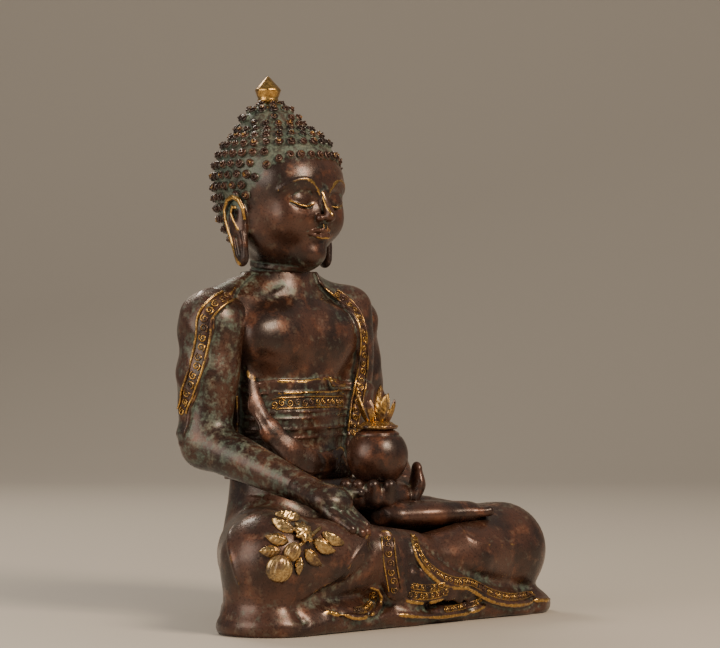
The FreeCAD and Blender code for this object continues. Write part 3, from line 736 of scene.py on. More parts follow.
def curl_tree():
    """A flattened bead with a smaller one on its top, set along the surface's own direction."""
    tree, given, result = new_tree(
        "curls",
        [
            ("Width", "NodeSocketFloat", 0.0046),
            ("Seed", "NodeSocketInt", 3),
            ("Material", "NodeSocketMaterial", None),
        ],
    )
    dome = add(tree, "GeometryNodeMeshUVSphere", None, Segments=9, Rings=6, Radius=0.46)
    dome_set = add(tree, "GeometryNodeTransform", None, Geometry=dome.outputs[0], Scale=(1, 1, 0.66))
    snail = add(
        tree,
        "GeometryNodeCurveSpiral",
        None,
        Resolution=7,
        Rotations=1.6,
        Start_Radius=0.38,
        End_Radius=0.10,
        Height=0.28,
    )
    cord = add(tree, "GeometryNodeCurvePrimitiveCircle", None, Resolution=4, Radius=0.12)
    shell = add(
        tree,
        "GeometryNodeCurveToMesh",
        None,
        Curve=snail.outputs[0],
        Profile_Curve=cord.outputs[0],
        Fill_Caps=True,
    )
    shell_set = add(
        tree, "GeometryNodeTransform", None, Geometry=shell.outputs[0], Translation=(0, 0, 0.16)
    )
    both = add(tree, "GeometryNodeJoinGeometry")
    for part in (dome_set, shell_set):
        tree.links.new(part.outputs[0], both.inputs[0])
    out = add(
        tree, "GeometryNodeInputNamedAttribute", {"data_type": "FLOAT_VECTOR"}, Name="out"
    ).outputs[0]
    turn = add(tree, "FunctionNodeAlignRotationToVector", {"axis": "Z"}, Vector=out)
    spin = add(
        tree, "FunctionNodeRandomValue", {"data_type": "FLOAT"}, i2=0.0, i3=6.28, Seed=given["Seed"]
    )
    spun = add(tree, "FunctionNodeAxisAngleToRotation", None, Angle=spin.outputs[1])
    rotation = add(
        tree,
        "FunctionNodeRotateRotation",
        {"rotation_space": "LOCAL"},
        Rotation=turn.outputs[0],
        i1=spun.outputs[0],
    )
    size = add(
        tree, "FunctionNodeRandomValue", {"data_type": "FLOAT"}, i2=0.92, i3=1.08, Seed=given["Seed"]
    )
    scale = add(tree, "ShaderNodeMath", {"operation": "MULTIPLY"}, i0=size.outputs[1], i1=given["Width"])
    spread = add(
        tree,
        "GeometryNodeInstanceOnPoints",
        None,
        Points=given["Geometry"],
        Instance=both.outputs[0],
        Rotation=rotation.outputs[0],
        Scale=scale.outputs[0],
    )
    real = add(tree, "GeometryNodeRealizeInstances", None, Geometry=spread.outputs[0])
    smooth = add(tree, "GeometryNodeSetShadeSmooth", None, Geometry=real.outputs[0])
    paint = add(
        tree, "GeometryNodeSetMaterial", None, Geometry=smooth.outputs[0], Material=given["Material"]
    )
    tree.links.new(paint.outputs[0], result[0])
    return tree


def build_curls(clay):
    points, normals = curl_places(clay)
    curls = grown(
        "curls", carrier_of(points, normals), curl_tree(), Width=0.0064, Seed=3, Material=curl_skin
    )
    places = np.empty(len(curls.data.vertices) * 3, np.float32)
    curls.data.vertices.foreach_get("co", places)
    rise = clay.read(places.reshape(-1, 3) * 1000 - origin)
    store(curls, "edge", np.clip(rise, 0, 3) * 0.62 - 0.4)
    store(curls, "swell", np.clip(rise, 0, 3) * 0.5 - 0.9)
    store(curls, "damp", 0.7 - np.clip(rise, 0, 3) * 0.35)
    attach(curls, "root")


curl_skin = patina("curl_patina", 0.44, 0.52, 3)
build_curls(head_clay)


# ---- Torso casting ------------------------------------------------------------------------------
# Bare chest, the robe over the back and the left side, the under-robe wrapped round the waist with its
# belt. Cast hollow, spigoted into the seat and riveted there.
def left_edge(z):
    """Where the robe's left border stands on the chest."""
    return np.interp(z, [95, 118, 132, 145, 170, 195, 206], [28, 31, 36, 38, 37, 31, 18])


def sculpt_torso(clay):
    clay.ball((0, 49, 168), (52, 32, 35))
    clay.ball((0, 46, 122), (41, 30.5, 44), 18)
    clay.ball((0, 42, 90), (42, 32, 16), 10)
    clay.limb([(0, 50, 194), (0, 50, 216)], [23, 19.2], 9)
    for side in (-1, 1):
        clay.limb([(side * 12, 50, 202), (side * 48, 50, 185)], [11.5, 16.5], 10)
        clay.ball((side * 22, 28, 172), (25, 12, 17), 12)
        clay.line([(side * 6, 14.5, 157), (side * 24, 13.5, 154.5), (side * 40, 22, 161)], -0.8, 3.4)
        clay.line([(side * 6, 33, 202), (side * 26, 31, 199), (side * 46, 36, 199)], 0.9, 2.6)
    clay.line([(0, 24, 196), (0, 15, 180), (0, 15, 157)], -0.9, 4.5)
    clay.limb([(50, 38, 190), (47, 34, 160), (44, 34, 130), (38, 36, 104)], [11, 12, 12, 11], 9)

    def robe(x, y, z):
        wave = 1.2 * np.sin(z * 0.21 + 0.6) + 0.5 * np.sin(z * 0.53)
        front = np.interp(-x, [18, 36, 52], [51, 45, 37])
        over = np.maximum(y - front + wave * 0.4, x - left_edge(z) - wave * 0.3)
        return 2.6 * smooth_step(over, -1.0, 1.0)

    def under_robe(x, y, z):
        top = 146.5 - (x / 40.0) ** 2 * 3 + 0.8 * np.sin(x * 0.16)
        wrap = 1.3 * smooth_step(top - z + 0 * y, -0.7, 0.7)
        lines = 0
        for level, high, width in (
            (138, 0.9, 0.7), (126, 0.7, 0.7), (122, 0.8, 0.8), (115.5, 0.9, 0.9), (110, 0.7, 0.8)
        ):
            lines = lines + high * np.exp(-(((z - level - 0.02 * x) / width) ** 2))
        return (wrap + lines * smooth_step(40 - y, 0, 3)) * smooth_step(64 - y, 0, 8)

    def back_folds(x, y, z):
        along = z * 0.8 + x * 0.55 + 5 * np.sin(x * 0.045)
        fold = np.abs(np.sin(along * 0.21)) ** 3
        return 1.5 * fold * smooth_step(y, 50, 62)

    low, high = (-75, 5, 80), (75, 92, 212)
    clay.raised(under_robe, low, high)
    clay.raised(robe, low, high)
    clay.raised(back_folds, low, high)
    # the under-robe's pleat and the scarf's loose edge hanging below the belt
    clay.limb([(8, 13.5, 147), (10, 12.5, 142), (22, 14.5, 141.5)], [1.0, 1.4, 1.0], 1.0)
    scarf = [
        (-41, 33, 150), (-41, 28, 130), (-36, 20, 114), (-26, 14, 102), (-12, 10, 95), (4, 10, 95),
        (18, 14, 101),
    ]
    clay.limb(scarf, [3, 4.5, 6.5, 7.5, 7, 5.5, 3], 2.0, inner=3, flat=((-0.35, -0.93, 0.1), 0.26))
    clay.crest([(x - 3, y - 2, z - 5.5) for x, y, z in scarf[1:]], 0.8, 1.0)
    clay.crest([(x, y - 3, z) for x, y, z in scarf[1:]], 0.6, 1.2)
    for level in (146, 138):
        clay.crest(
            [(x, 16, level - (x / 40) ** 2 * 3) for x in (-34, -20, -6, 8, 22, 32)], 0.0, 1.0, 0.55
        )


def build_torso():
    clay = Clay((-75, 5, 80), (75, 92, 213), 0.85)
    sculpt_torso(clay)
    clay.plane((0, 0, 84), (0, 0, -1))
    clay.limb([(0, 50, 190), (0, 50, 230)], [18.6, 18.4], 0.5, cut=True)

    def damp(points):
        """Damp stands round the neck and, less of it, from the ribs down."""
        neck = smooth_step(points[:, 2], 192, 205)
        below = smooth_step(150 - points[:, 2], 0, 10)
        return 0.7 * neck + 0.35 * below

    def calm(points, edge):
        """Nothing rubs the neck joint, and little rubs the scarf and what lies under it."""
        x, y, z = points.T
        edge = np.where(z > 203, np.minimum(edge, 0.2), edge)
        return np.where((z < 152) & (y < 40) & (z < 128 - x * 0.9 - 20), np.minimum(edge, 0.7), edge)

    clay.damp = damp
    clay.calm = calm
    torso = clay.mesh("torso", skin)
    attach(torso, "root")
    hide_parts("torso_casting", "waist_rivets", "right_shoulder_dowel", "left_shoulder_dowel")
    return clay


torso_clay = build_torso()


# ---- Arm castings -------------------------------------------------------------------------------
# Each arm is cast in one from the shoulder to the wrist. The right one is bare along its front, with the
# robe over the outside down to the elbow; the left one is under the robe.
def leave_room(clay, other, depth=1.0):
    """Takes another form out of this one, and leaves depth of it standing inside."""
    slices = clay.window(other.low, [axis[-1] for axis in other.axes], 0)
    x, y, z = np.meshgrid(*(clay.axes[i][slices[i]] for i in range(3)), indexing="ij")
    places = np.stack([x.ravel(), y.ravel(), z.ravel()], 1)
    taken = other.read(places).reshape(x.shape).astype(np.float32) + depth
    clay.field[slices] = np.maximum(clay.field[slices], -taken)


def arm_turn(x, y, z):
    """Direction round the upper arm in degrees, and the distance from its axis."""
    share = (183 - z) / 75.0
    dx, dy = np.abs(x) - (58 + 8 * share), y - (49 - 3 * share)
    return np.degrees(np.arctan2(dy, -dx)) % 360, np.sqrt(dx * dx + dy * dy)


def build_right_arm():
    clay = Clay((-96, -30, 72), (-30, 80, 210), 0.85)
    clay.limb(
        [(-40, 50, 188), (-56, 49, 179.5), (-61.5, 47.5, 148), (-66, 46, 107)],
        [14.5, 19.5, 17.2, 14.6],
        0,
        inner=5,
    )
    clay.limb([(-66, 46, 107), (-62, 20, 98.5), (-54, -24, 82.5)], [15.0, 13.4, 9.3], 6)

    def sleeve(x, y, z):
        turn, out = arm_turn(x, y, z)
        edge = np.interp(
            z,
            [110, 121, 130, 142, 154, 175, 185, 193, 199, 206],
            [178, 187, 196, 209, 220, 230, 234, 258, 276, 290],
        )
        wave = 0.6 * np.sin(z * 0.33)
        over = np.minimum((edge - turn) * out * 0.01745 + wave, turn - 45)
        return 2.0 * smooth_step(over, -0.9, 0.9) * smooth_step(z, 108, 114)

    def folds(x, y, z):
        turn, _ = arm_turn(x, y, z)
        fold = np.abs(np.sin((z * 0.9 + turn * 0.28) * 0.17)) ** 3
        return 0.8 * fold * smooth_step(turn, 60, 80) * smooth_step(
            np.interp(z, [112, 206], [168, 236]) - turn, 0, 14
        )

    low, high = (-96, 20, 106), (-30, 80, 210)
    clay.raised(sleeve, low, high)
    clay.raised(folds, low, high)
    clay.line([(-57, -6, 97), (-52, 6, 101), (-50, 16, 104)], -0.5, 1.6)
    axis = np.array([14.0, -72.0, -30.5])
    clay.plane((-54, -23, 83), axis)
    clay.damp = lambda points: 0.2 * smooth_step(135 - points[:, 2], 0, 30)
    clay.calm = lambda points, edge: np.where(points[:, 1] < -17, np.minimum(edge, 0), edge)
    leave_room(clay, torso_clay)
    arm = clay.mesh("right_arm", green_skin)
    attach(arm, "root")
    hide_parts("right_arm_casting", "right_wrist_dowel")
    return clay


def build_left_arm():
    clay = Clay((28, -30, 62), (96, 80, 210), 0.9)
    clay.limb(
        [(40, 50, 188), (56, 49, 179.5), (61.5, 47.5, 148), (66, 46, 107)],
        [14.5, 19.5, 17.8, 15.4],
        0,
        inner=5,
    )
    clay.limb([(66, 46, 107), (62, 20, 98), (49, -10, 77)], [15.4, 13.2, 9.0], 6)

    def folds(x, y, z):
        turn, _ = arm_turn(x, y, z)
        fold = np.abs(np.sin((z * 0.8 + turn * 0.25) * 0.16)) ** 3
        return 1.2 * fold * smooth_step(z + (y - 40) * 0.3, 98, 112)

    clay.raised(folds, (28, 10, 95), (96, 80, 210))
    clay.plane((49, -10, 77), (-19, -57, -33))
    clay.calm = lambda points, edge: np.where(points[:, 1] < -3, np.minimum(edge, 0), edge)
    leave_room(clay, torso_clay)
    arm = clay.mesh("left_arm", skin)
    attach(arm, "root")
    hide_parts("left_arm_casting", "left_wrist_dowel")


right_arm_clay = build_right_arm()
build_left_arm()


# ---- Seat casting -------------------------------------------------------------------------------
# Crossed legs under the robe, cast hollow with the lap, the folds that run out in front and the thick hem
# on the floor.
def seat_block(clay, reach, top, blend):
    """Rounded three-cornered slab through the knees and the seat."""
    corners = [((98, -46), 29.5 + reach), ((0, 40), 42 + reach), ((-98, -46), 30 + reach)]

    def distance(x, y, z):
        best = None
        for (a, ra), (b, rb) in zip(corners, corners[1:] + corners[:1]):
            a, b = np.array(a, float), np.array(b, float)
            run = b - a
            t = np.clip(((x - a[0]) * run[0] + (y - a[1]) * run[1]) / (run @ run), 0, 1)
            d = np.hypot(x - a[0] - t * run[0], y - a[1] - t * run[1]) - (ra + (rb - ra) * t)
            best = d if best is None else np.minimum(best, d)
        inner = np.hypot(x, y + 8) - 46
        best = np.minimum(best, inner)
        level = np.abs(z - top / 2) - top / 2
        return -soft_min(-(best + 0 * z), -(level + 0 * best), 5)

    clay.apply(distance, (-135, -84, 0), (135, 88, top), blend)


def rolled_hem(clay, run, radius):
    """A rounded edge laid along a run, with a groove close under it; its lip is rubbed bright."""
    edge = smooth_run([(across, up, 0) for across, up in run], 2.5)
    laid = clay.struck(edge[:, 0], edge[:, 1], lift=0.2)[0]
    under = clay.struck(edge[:, 0] + 0.6, edge[:, 1] - 3.4)[0]
    ends = np.minimum(np.arange(len(laid)), np.arange(len(laid))[::-1])
    clay.line(under[2:-2], -1.3, 1.4)
    clay.limb(laid, radius * (0.5 + 0.5 * np.minimum(ends / 3, 1)), 1.4, inner=1.0)
    clay.gilded.append((laid + np.array([-1, -1, -0.4]) * radius * 0.65, 0.9))


# (across, up) along each rolled hem, seen from the front right, and its radius: the right lobe, the long
# wavy hem in two runs, the low one, and the fan's end last
HEMS = (
    (
        (
            (-6, 13.4), (-1, 12.7), (4.5, 11), (14, 8.7), (20.6, 9.6), (26, 13), (27.4, 19),
            (25.3, 23), (21.3, 24.7),
        ),
        1.7,
    ),
    (((45.8, 52), (47.3, 44.6), (50.8, 37.4), (56.4, 30.7), (63.5, 25), (72, 21.6), (79.3, 21)), 1.6),
    (((79.3, 21), (85, 17.5), (92.4, 12.8), (104, 8.5), (114.7, 7.4), (124, 8.6), (133, 8)), 1.8),
    (((38.4, 7.9), (51, 6.3), (62, 4.6), (74.7, 5), (83.4, 5.5), (90.7, 8.4)), 1.6),
    (((42.8, 16), (49, 14.4), (57, 14), (64.5, 15)), 1.3),
)


def sculpt_skirt(clay):
    """Folds, layers and rolled edges of the robe's ends, and the seams across the legs."""
    # edge of the leg cloth across the right shin and the two seams of the left one
    clay.crest(
        [(-44, -80, 52), (-52, -80, 38), (-64, -78, 27), (-82, -74, 22), (-100, -70, 19)], -2.2, 3.6
    )
    clay.crest([(-46, -75, 57), (-59, -79, 46), (-69, -78, 35), (-83, -73, 26), (-98, -70, 22)], 1.4, 1.2)
    clay.crest([(4, -74, 53), (16, -79, 41), (37, -80, 29), (70, -78, 21), (100, -70, 16)], -2.4, 3.4)
    clay.crest([(58, -38, 58), (42, -68, 53), (48, -77, 47), (64, -78, 45), (86, -75, 44)], 1.2, 1.2)
    clay.crest(
        [(-58, 26, 66), (-68, 14, 66), (-88, -16, 66), (-112, -32, 58), (-124, -44, 46), (-126, -50, 30)],
        1.5,
        1.4,
    )
    clay.crest([(-60, 10, 71), (-68, 0, 71), (-86, -24, 70), (-100, -44, 71)], 1.1, 1.3)
    # tail of the robe that hangs from the lap between the shins
    tail = [(-32, -74, 54), (-34, -78, 47), (-33, -79.5, 39), (-31, -79.5, 31), (-28.5, -79.5, 23)]
    clay.limb(tail, [4.6, 6.0, 6.3, 6.5, 6.8], 1.6, inner=2, flat=((-0.6, -0.79, 0.1), 0.34))
    # fanned end beside it
    clay.limb(
        [(-12, -77, 30), (2, -78, 27), (16, -78, 21)],
        [6, 7.5, 7],
        1.8,
        inner=2,
        flat=((-0.2, -0.97, 0.15), 0.42),
    )
    # rolled hems, all but the fan's end, which lies over the panel of the fan
    for run, radius in HEMS[:-1]:
        rolled_hem(clay, run, radius)
    panel = [
        (-17, -77.5, 22), (-8, -78.5, 20.5), (3, -79, 20.5), (14, -79, 21), (28, -78, 17), (42, -77, 13)
    ]
    clay.limb(panel, [4.5, 6, 6, 5.5, 5, 4], 2.5, inner=2, flat=((-0.2, -0.97, 0.15), 0.45))
    for x in (-13, -6, 1, 8):
        clay.crest([(x * 0.6 - 9, -78, 33), (x, -79, 25)], 0.7, 0.8)
    rolled_hem(clay, *HEMS[-1])
    # folds that fall from the knees to the floor
    for run, high, width in (
        ([(-14, -70, 46), (0, -78, 36), (22, -79, 27), (48, -76, 18)], 1.8, 3.2),
        ([(-8, -70, 44), (12, -78, 35), (36, -79, 24), (70, -76, 14)], 1.4, 2.6),
        ([(-112, -60, 30), (-104, -70, 16), (-100, -74, 8)], -1.4, 3.5),
        ([(-84, -74, 22), (-74, -77, 14), (-70, -79, 7)], -1.3, 3.0),
        ([(-46, -78, 30), (-50, -79, 18), (-52, -80, 8)], -1.6, 2.8),
        ([(30, -78, 16), (36, -80, 8), (38, -80, 3)], -1.4, 2.6),
        ([(92, -72, 20), (96, -76, 10), (97, -78, 3)], -1.3, 3.0),
        ([(-120, -20, 20), (-92, 14, 18), (-60, 40, 16)], -1.5, 4.0),
        ([(-112, -2, 30), (-84, 26, 28), (-52, 50, 24)], 1.2, 3.0),
        ([(120, -20, 20), (92, 14, 18), (60, 40, 16)], -1.5, 4.0),
        ([(112, -2, 30), (84, 26, 28), (52, 50, 24)], 1.2, 3.0),
        ([(-30, 78, 12), (0, 82, 14), (30, 78, 12)], -1.3, 3.5),
    ):
        clay.line(run, high, width)


def sculpt_seat(clay):
    clay.limb([(-34, 28, 40), (-98, -46, 41)], [28.5, 28.5], 0)
    clay.limb([(34, 28, 40), (98, -46, 39)], [28.5, 28], 10)
    clay.ball((0, 39, 36), (50, 41, 36), 10)
    clay.limb([(0, 41, 60), (0, 41, 90)], [33, 29.5], 14)
    clay.limb([(-10, 41, 60), (-10, 41, 90)], [32, 29.5], 8)
    clay.limb([(10, 41, 60), (10, 41, 90)], [32, 29.5], 8)
    clay.limb([(-98, -46, 42), (-48, -57, 41), (2, -57, 38)], [28.5, 22, 18], 7)
    clay.limb([(98, -46, 39), (52, -58, 37), (0, -54, 31)], [27.5, 21, 18], 7)
    seat_block(clay, -10, 30, 10)
    clay.limb([(-99, -45, 30), (-99, -45, 8)], [25.5, 28], 6)
    clay.limb([(26, -4, 72), (50, -26, 68), (72, -42, 64)], [12, 11, 9], 7, flat=((0, 0, 1), 0.5))
    clay.limb([(-6, 12, 76), (22, 14, 77), (40, 18, 77)], [12, 13, 10], 8, flat=((0, 0, 1), 0.6))
    # the skirt runs out under the shins and ends in the hem
    clay.limb([(-100, -48, 8), (-60, -62, 8), (-10, -64, 8)], [28, 15, 14], 5, flat=((0, 0, 1), 0.42))
    clay.limb([(100, -48, 7), (60, -60, 8), (10, -64, 8)], [28, 16, 14], 5, flat=((0, 0, 1), 0.42))
    clay.limb([(-34, -60, 46), (-24, -64, 30), (-12, -66, 12)], [13, 14, 14], 6, inner=4)
    clay.limb(
        [(-104, -62, 13), (-80, -70, 13), (-54, -73, 13)], [8, 9, 8], 5, flat=((0, -0.55, 0.83), 0.42)
    )
    sheet = [(-8, -72, 44), (10, -74, 34), (30, -75, 25), (56, -74, 17), (80, -72, 12), (102, -66, 9)]
    clay.limb(sheet, [6, 8, 9, 9, 9, 8], 5, inner=3, flat=((0.25, -0.75, 0.6), 0.45))
    seat_block(clay, 2, 7, 5)
    sculpt_skirt(clay)


def build_seat():
    clay = Clay((-136, -90, -3), (136, 92, 96), 0.95)
    sculpt_seat(clay)
    clay.plane((0, 0, 0), (0, 0, -1))
    clay.plane((0, 0, 84.4), (0, 0, 1))

    def damp(points):
        """Damp stands along the hem on the floor and, less of it, on top of the legs."""
        hem = smooth_step(20 - points[:, 2], 0, 16)
        top = smooth_step(points[:, 2], 50, 70)
        return 0.45 * hem + 0.25 * top

    clay.damp = damp
    seat = clay.mesh("seat", skin)
    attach(seat, "root")
    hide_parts("seat_casting")
    return clay


seat_clay = build_seat()


# ---- Right hand casting -------------------------------------------------------------------------
# Palm inward over the knee, the fingers reaching down over the shin towards the sprig.
def build_right_hand():
    clay = Clay((-76, -78, 50), (-26, -14, 98), 0.5)
    wrist = np.array([-54.0, -23, 83])
    knuckles = np.array([-51.0, -47, 75.5])
    tips = np.array([-47.5, -71.5, 57])
    reach = (knuckles - wrist) / np.linalg.norm(knuckles - wrist)
    across = np.cross((0, 0, 1), reach)
    across /= np.linalg.norm(across)
    up = np.cross(reach, -across)
    clay.limb([wrist - reach * 4, wrist + reach * 6], [9.4, 9.0], 0)
    clay.limb([wrist + reach * 5, knuckles - reach * 1], [10.6, 14.6], 4, flat=(up, 0.64))
    for number, place in enumerate((-1.5, -0.5, 0.5, 1.5)):
        root = knuckles + across * place * 6.2 - reach * 4
        length = (0.88, 1.0, 0.98, 0.80)[number]
        bend = knuckles + across * place * 6.0 + (tips - knuckles) * 0.42 * length + up * 1.6
        tip = knuckles + across * place * 5.2 + (tips - knuckles) * length
        clay.limb([root, bend, tip], [4.5, 4.2, 3.3], 1.0, inner=1.0)
        clay.line([bend + up * 3.0 - across * 2, bend + up * 3.0 + across * 2], 0.4, 0.8)
        clay.ball(tip + up * 2.0 - reach * 1.0, (1.7, 2.0, 0.8), 0.6)
    thumb = [
        wrist + reach * 8 + across * 8,
        knuckles + across * 14 - reach * 3 - up * 3,
        knuckles + across * 15 + reach * 9 - up * 7,
    ]
    clay.limb(thumb, [4.6, 3.8, 2.8], 3.0, inner=2.0)
    clay.plane(wrist, -reach)
    clay.calm = lambda points, edge: np.where(points[:, 1] > -31, np.minimum(edge, 0), edge)
    leave_room(clay, seat_clay, 0.8)
    hand = clay.mesh("right_hand", green_skin)
    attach(hand, "root")
    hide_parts("right_hand_casting")


build_right_hand()


# ---- Left hand casting --------------------------------------------------------------------------
# Lies open in the lap, palm up, with the fingertips and the thumb raised round the bowl.
bowl_mid = middle("medicine_bowl") - origin
bowl_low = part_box("medicine_bowl")[0][2] * 1000
bowl_radius = 19.0
bowl_centre = np.array([bowl_mid[0], bowl_mid[1], bowl_low + bowl_radius])


def build_left_hand():
    clay = Clay((-14, -50, 60), (60, 4, 100), 0.5)
    palm = bowl_centre + np.array([4.0, -1, -26])
    wrist = np.array([49.0, -10, 77])
    clay.limb([wrist + np.array([3, 3, 1.5]), wrist + np.array([-8, -3, -2])], [9.2, 8.4], 0)
    clay.limb([wrist + np.array([-8, -3, -2]), palm], [8.4, 9], 6)
    clay.ball(palm, (23, 16, 8.0), 6, turn=(0, 0, 20))
    clay.ball(palm + (-4, 0, 5), (21, 16, 7.0), 4)
    tips = [(-6, -15), (-4.5, -23.5), (1, -31.5), (9, -37.5)]
    for x, y in tips:
        away = np.array([x - bowl_centre[0], y - bowl_centre[1], 0])
        away /= np.linalg.norm(away)
        root = palm + away * 9
        middle_joint = np.array([x, y, 0.0]) - away * 3 + np.array([0, 0, palm[2] - 1])
        tip = np.array([x, y, palm[2] + 8.5])
        clay.limb([root, middle_joint, tip], [5.6, 5.2, 4.0], 1.6, inner=2.0)
        clay.line(
            [middle_joint + away * 3 + (0, 0, 4), middle_joint + away * 3.4 + (0, 0, 4.5)], -0.4, 1.0
        )
    thumb = [palm + (17, -8, 0), palm + (21, -9, 8), palm + (20.5, -9, 17)]
    clay.limb(thumb, [7.5, 7.0, 5.0], 2.0, inner=2.0, flat=((0.93, -0.37, 0), 0.6))
    clay.ball(bowl_centre, bowl_radius + 0.2, 0.5, cut=True)
    clay.plane(wrist, (19, 57, 33))
    leave_room(clay, seat_clay, 0.8)
    hand = clay.mesh("left_hand", skin)
    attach(hand, "root")
    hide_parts("left_hand_casting", "bowl_stud")
    return clay


left_hand_clay = build_left_hand()


# ---- Right foot casting -------------------------------------------------------------------------
# Sole up on the left shin, toes towards the left knee.
def build_foot():
    clay = Clay((4, -74, 48), (92, -20, 82), 0.55)
    heel = np.array([18.0, -34, 63])
    ball_of_foot = np.array([60.0, -52, 64])
    toes = np.array([74.0, -58, 65])
    reach = (toes - heel) / np.linalg.norm(toes - heel)
    across = np.cross((0, 0, 1), reach)
    clay.limb(
        [heel, (heel + ball_of_foot) / 2, ball_of_foot],
        [15.5, 13.0, 11.5],
        0,
        inner=4,
        flat=((0, 0, 1), 0.60),
    )
    for number in range(5):
        place = (number - 2) * 4.1
        root = ball_of_foot + across * place + reach * 4
        length = 10 - abs(number - 1.0) * 1.0
        clay.limb([root, root + reach * length], [3.4, 2.9], 0.8)
        clay.ball(root + reach * length + (0, 0, 0.4), (3.2, 3.2, 3.1), 0.5)
    leave_room(clay, seat_clay, 0.8)
    leave_room(clay, left_hand_clay, 0.8)
    clay.calm = lambda points, edge: np.where(points[:, 0] < 40, np.minimum(edge, 0), edge)
    foot = clay.mesh("right_foot", skin)
    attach(foot, "root")
    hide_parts("right_foot_casting")


build_foot()


# ---- Robe borders -------------------------------------------------------------------------------
# Scrollwork between two raised cords, cast on the robe's edges and rubbed bright.
def border_tree():
    """Two cords with a row of turned scrolls between them, along a line laid on the surface."""
    tree, given, result = new_tree(
        "border",
        [
            ("Width", "NodeSocketFloat", 0.008),
            ("Cord", "NodeSocketFloat", 0.0007),
            ("Scroll", "NodeSocketFloat", 0.005),
            ("Material", "NodeSocketMaterial", None),
        ],
    )
    out = add(
        tree, "GeometryNodeInputNamedAttribute", {"data_type": "FLOAT_VECTOR"}, Name="out"
    ).outputs[0]
    line = add(tree, "GeometryNodeMeshToCurve", None, Mesh=given["Geometry"]).outputs[0]
    tangent = add(tree, "GeometryNodeInputTangent").outputs[0]
    sideways = add(
        tree, "ShaderNodeVectorMath", {"operation": "CROSS_PRODUCT"}, i0=tangent, i1=out
    ).outputs[0]
    joint = add(tree, "GeometryNodeJoinGeometry")
    ring = add(
        tree, "GeometryNodeCurvePrimitiveCircle", None, Resolution=6, Radius=given["Cord"]
    ).outputs[0]
    for side in (-0.5, 0.5):
        away = add(
            tree, "ShaderNodeMath", {"operation": "MULTIPLY"}, i0=given["Width"], i1=side
        ).outputs[0]
        offset = add(
            tree, "ShaderNodeVectorMath", {"operation": "SCALE"}, i0=sideways, Scale=away
        ).outputs[0]
        moved = add(tree, "GeometryNodeSetPosition", None, Geometry=line, Offset=offset).outputs[0]
        cord = add(
            tree, "GeometryNodeCurveToMesh", None, Curve=moved, Profile_Curve=ring, Fill_Caps=True
        ).outputs[0]
        tree.links.new(cord, joint.inputs[0])
    spiral = add(
        tree,
        "GeometryNodeCurveSpiral",
        None,
        Resolution=9,
        Rotations=1.4,
        Start_Radius=0.08,
        End_Radius=0.5,
        Height=0.0,
    ).outputs[0]
    bead = add(tree, "GeometryNodeCurvePrimitiveCircle", None, Resolution=4, Radius=0.11).outputs[0]
    scroll = add(
        tree, "GeometryNodeCurveToMesh", None, Curve=spiral, Profile_Curve=bead, Fill_Caps=True
    ).outputs[0]
    places = add(
        tree, "GeometryNodeCurveToPoints", {"mode": "LENGTH"}, Curve=line, Length=given["Scroll"]
    )
    first = add(tree, "FunctionNodeAlignRotationToVector", {"axis": "Z"}, Vector=out).outputs[0]
    second = add(
        tree,
        "FunctionNodeAlignRotationToVector",
        {"axis": "X", "pivot_axis": "Z"},
        Rotation=first,
        Vector=places.outputs["Tangent"],
    ).outputs[0]
    index = add(tree, "GeometryNodeInputIndex").outputs[0]
    odd = add(tree, "ShaderNodeMath", {"operation": "MODULO"}, i0=index, i1=2.0).outputs[0]
    half_turn = add(tree, "ShaderNodeMath", {"operation": "MULTIPLY"}, i0=odd, i1=math.pi).outputs[0]
    spin = add(tree, "FunctionNodeAxisAngleToRotation", None, Angle=half_turn).outputs[0]
    rotation = add(
        tree, "FunctionNodeRotateRotation", {"rotation_space": "LOCAL"}, Rotation=second, i1=spin
    ).outputs[0]
    spread = add(
        tree,
        "GeometryNodeInstanceOnPoints",
        None,
        Points=places.outputs["Points"],
        Instance=scroll,
        Rotation=rotation,
        Scale=given["Scroll"],
    ).outputs[0]
    tree.links.new(spread, joint.inputs[0])
    real = add(tree, "GeometryNodeRealizeInstances", None, Geometry=joint.outputs[0]).outputs[0]
    smooth = add(tree, "GeometryNodeSetShadeSmooth", None, Geometry=real).outputs[0]
    paint = add(tree, "GeometryNodeSetMaterial", None, Geometry=smooth, Material=given["Material"])
    tree.links.new(paint.outputs[0], result[0])
    return tree


gilt = patina("rubbed_brass", 1.08, 0.15, 5)
borders = border_tree()


def border(name, clay, run, width=8.0, cord=0.7, scroll=5.0):
    if len(run[0]) == 2:
        points, normals = clay.struck(*smooth_run([(a, up, 0) for a, up in run], 1.6)[:, :2].T, lift=0.1)
    else:
        points, normals = clay.settle(smooth_run(run, 1.6), lift=0.1)
    inside = np.all((points > clay.low) & (points < [axis[-1] for axis in clay.axes]), axis=1)
    inside &= np.abs(clay.read(points)) < 1.0
    points, normals = points[inside], normals[inside]
    steps = [(k, k + 1) for k in range(len(points) - 1)]
    piece = grown(
        name,
        carrier_of(points, normals, steps),
        borders,
        Width=width * 0.001,
        Cord=cord * 0.001,
        Scroll=scroll * 0.001,
        Material=gilt,
    )
    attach(piece, "root")


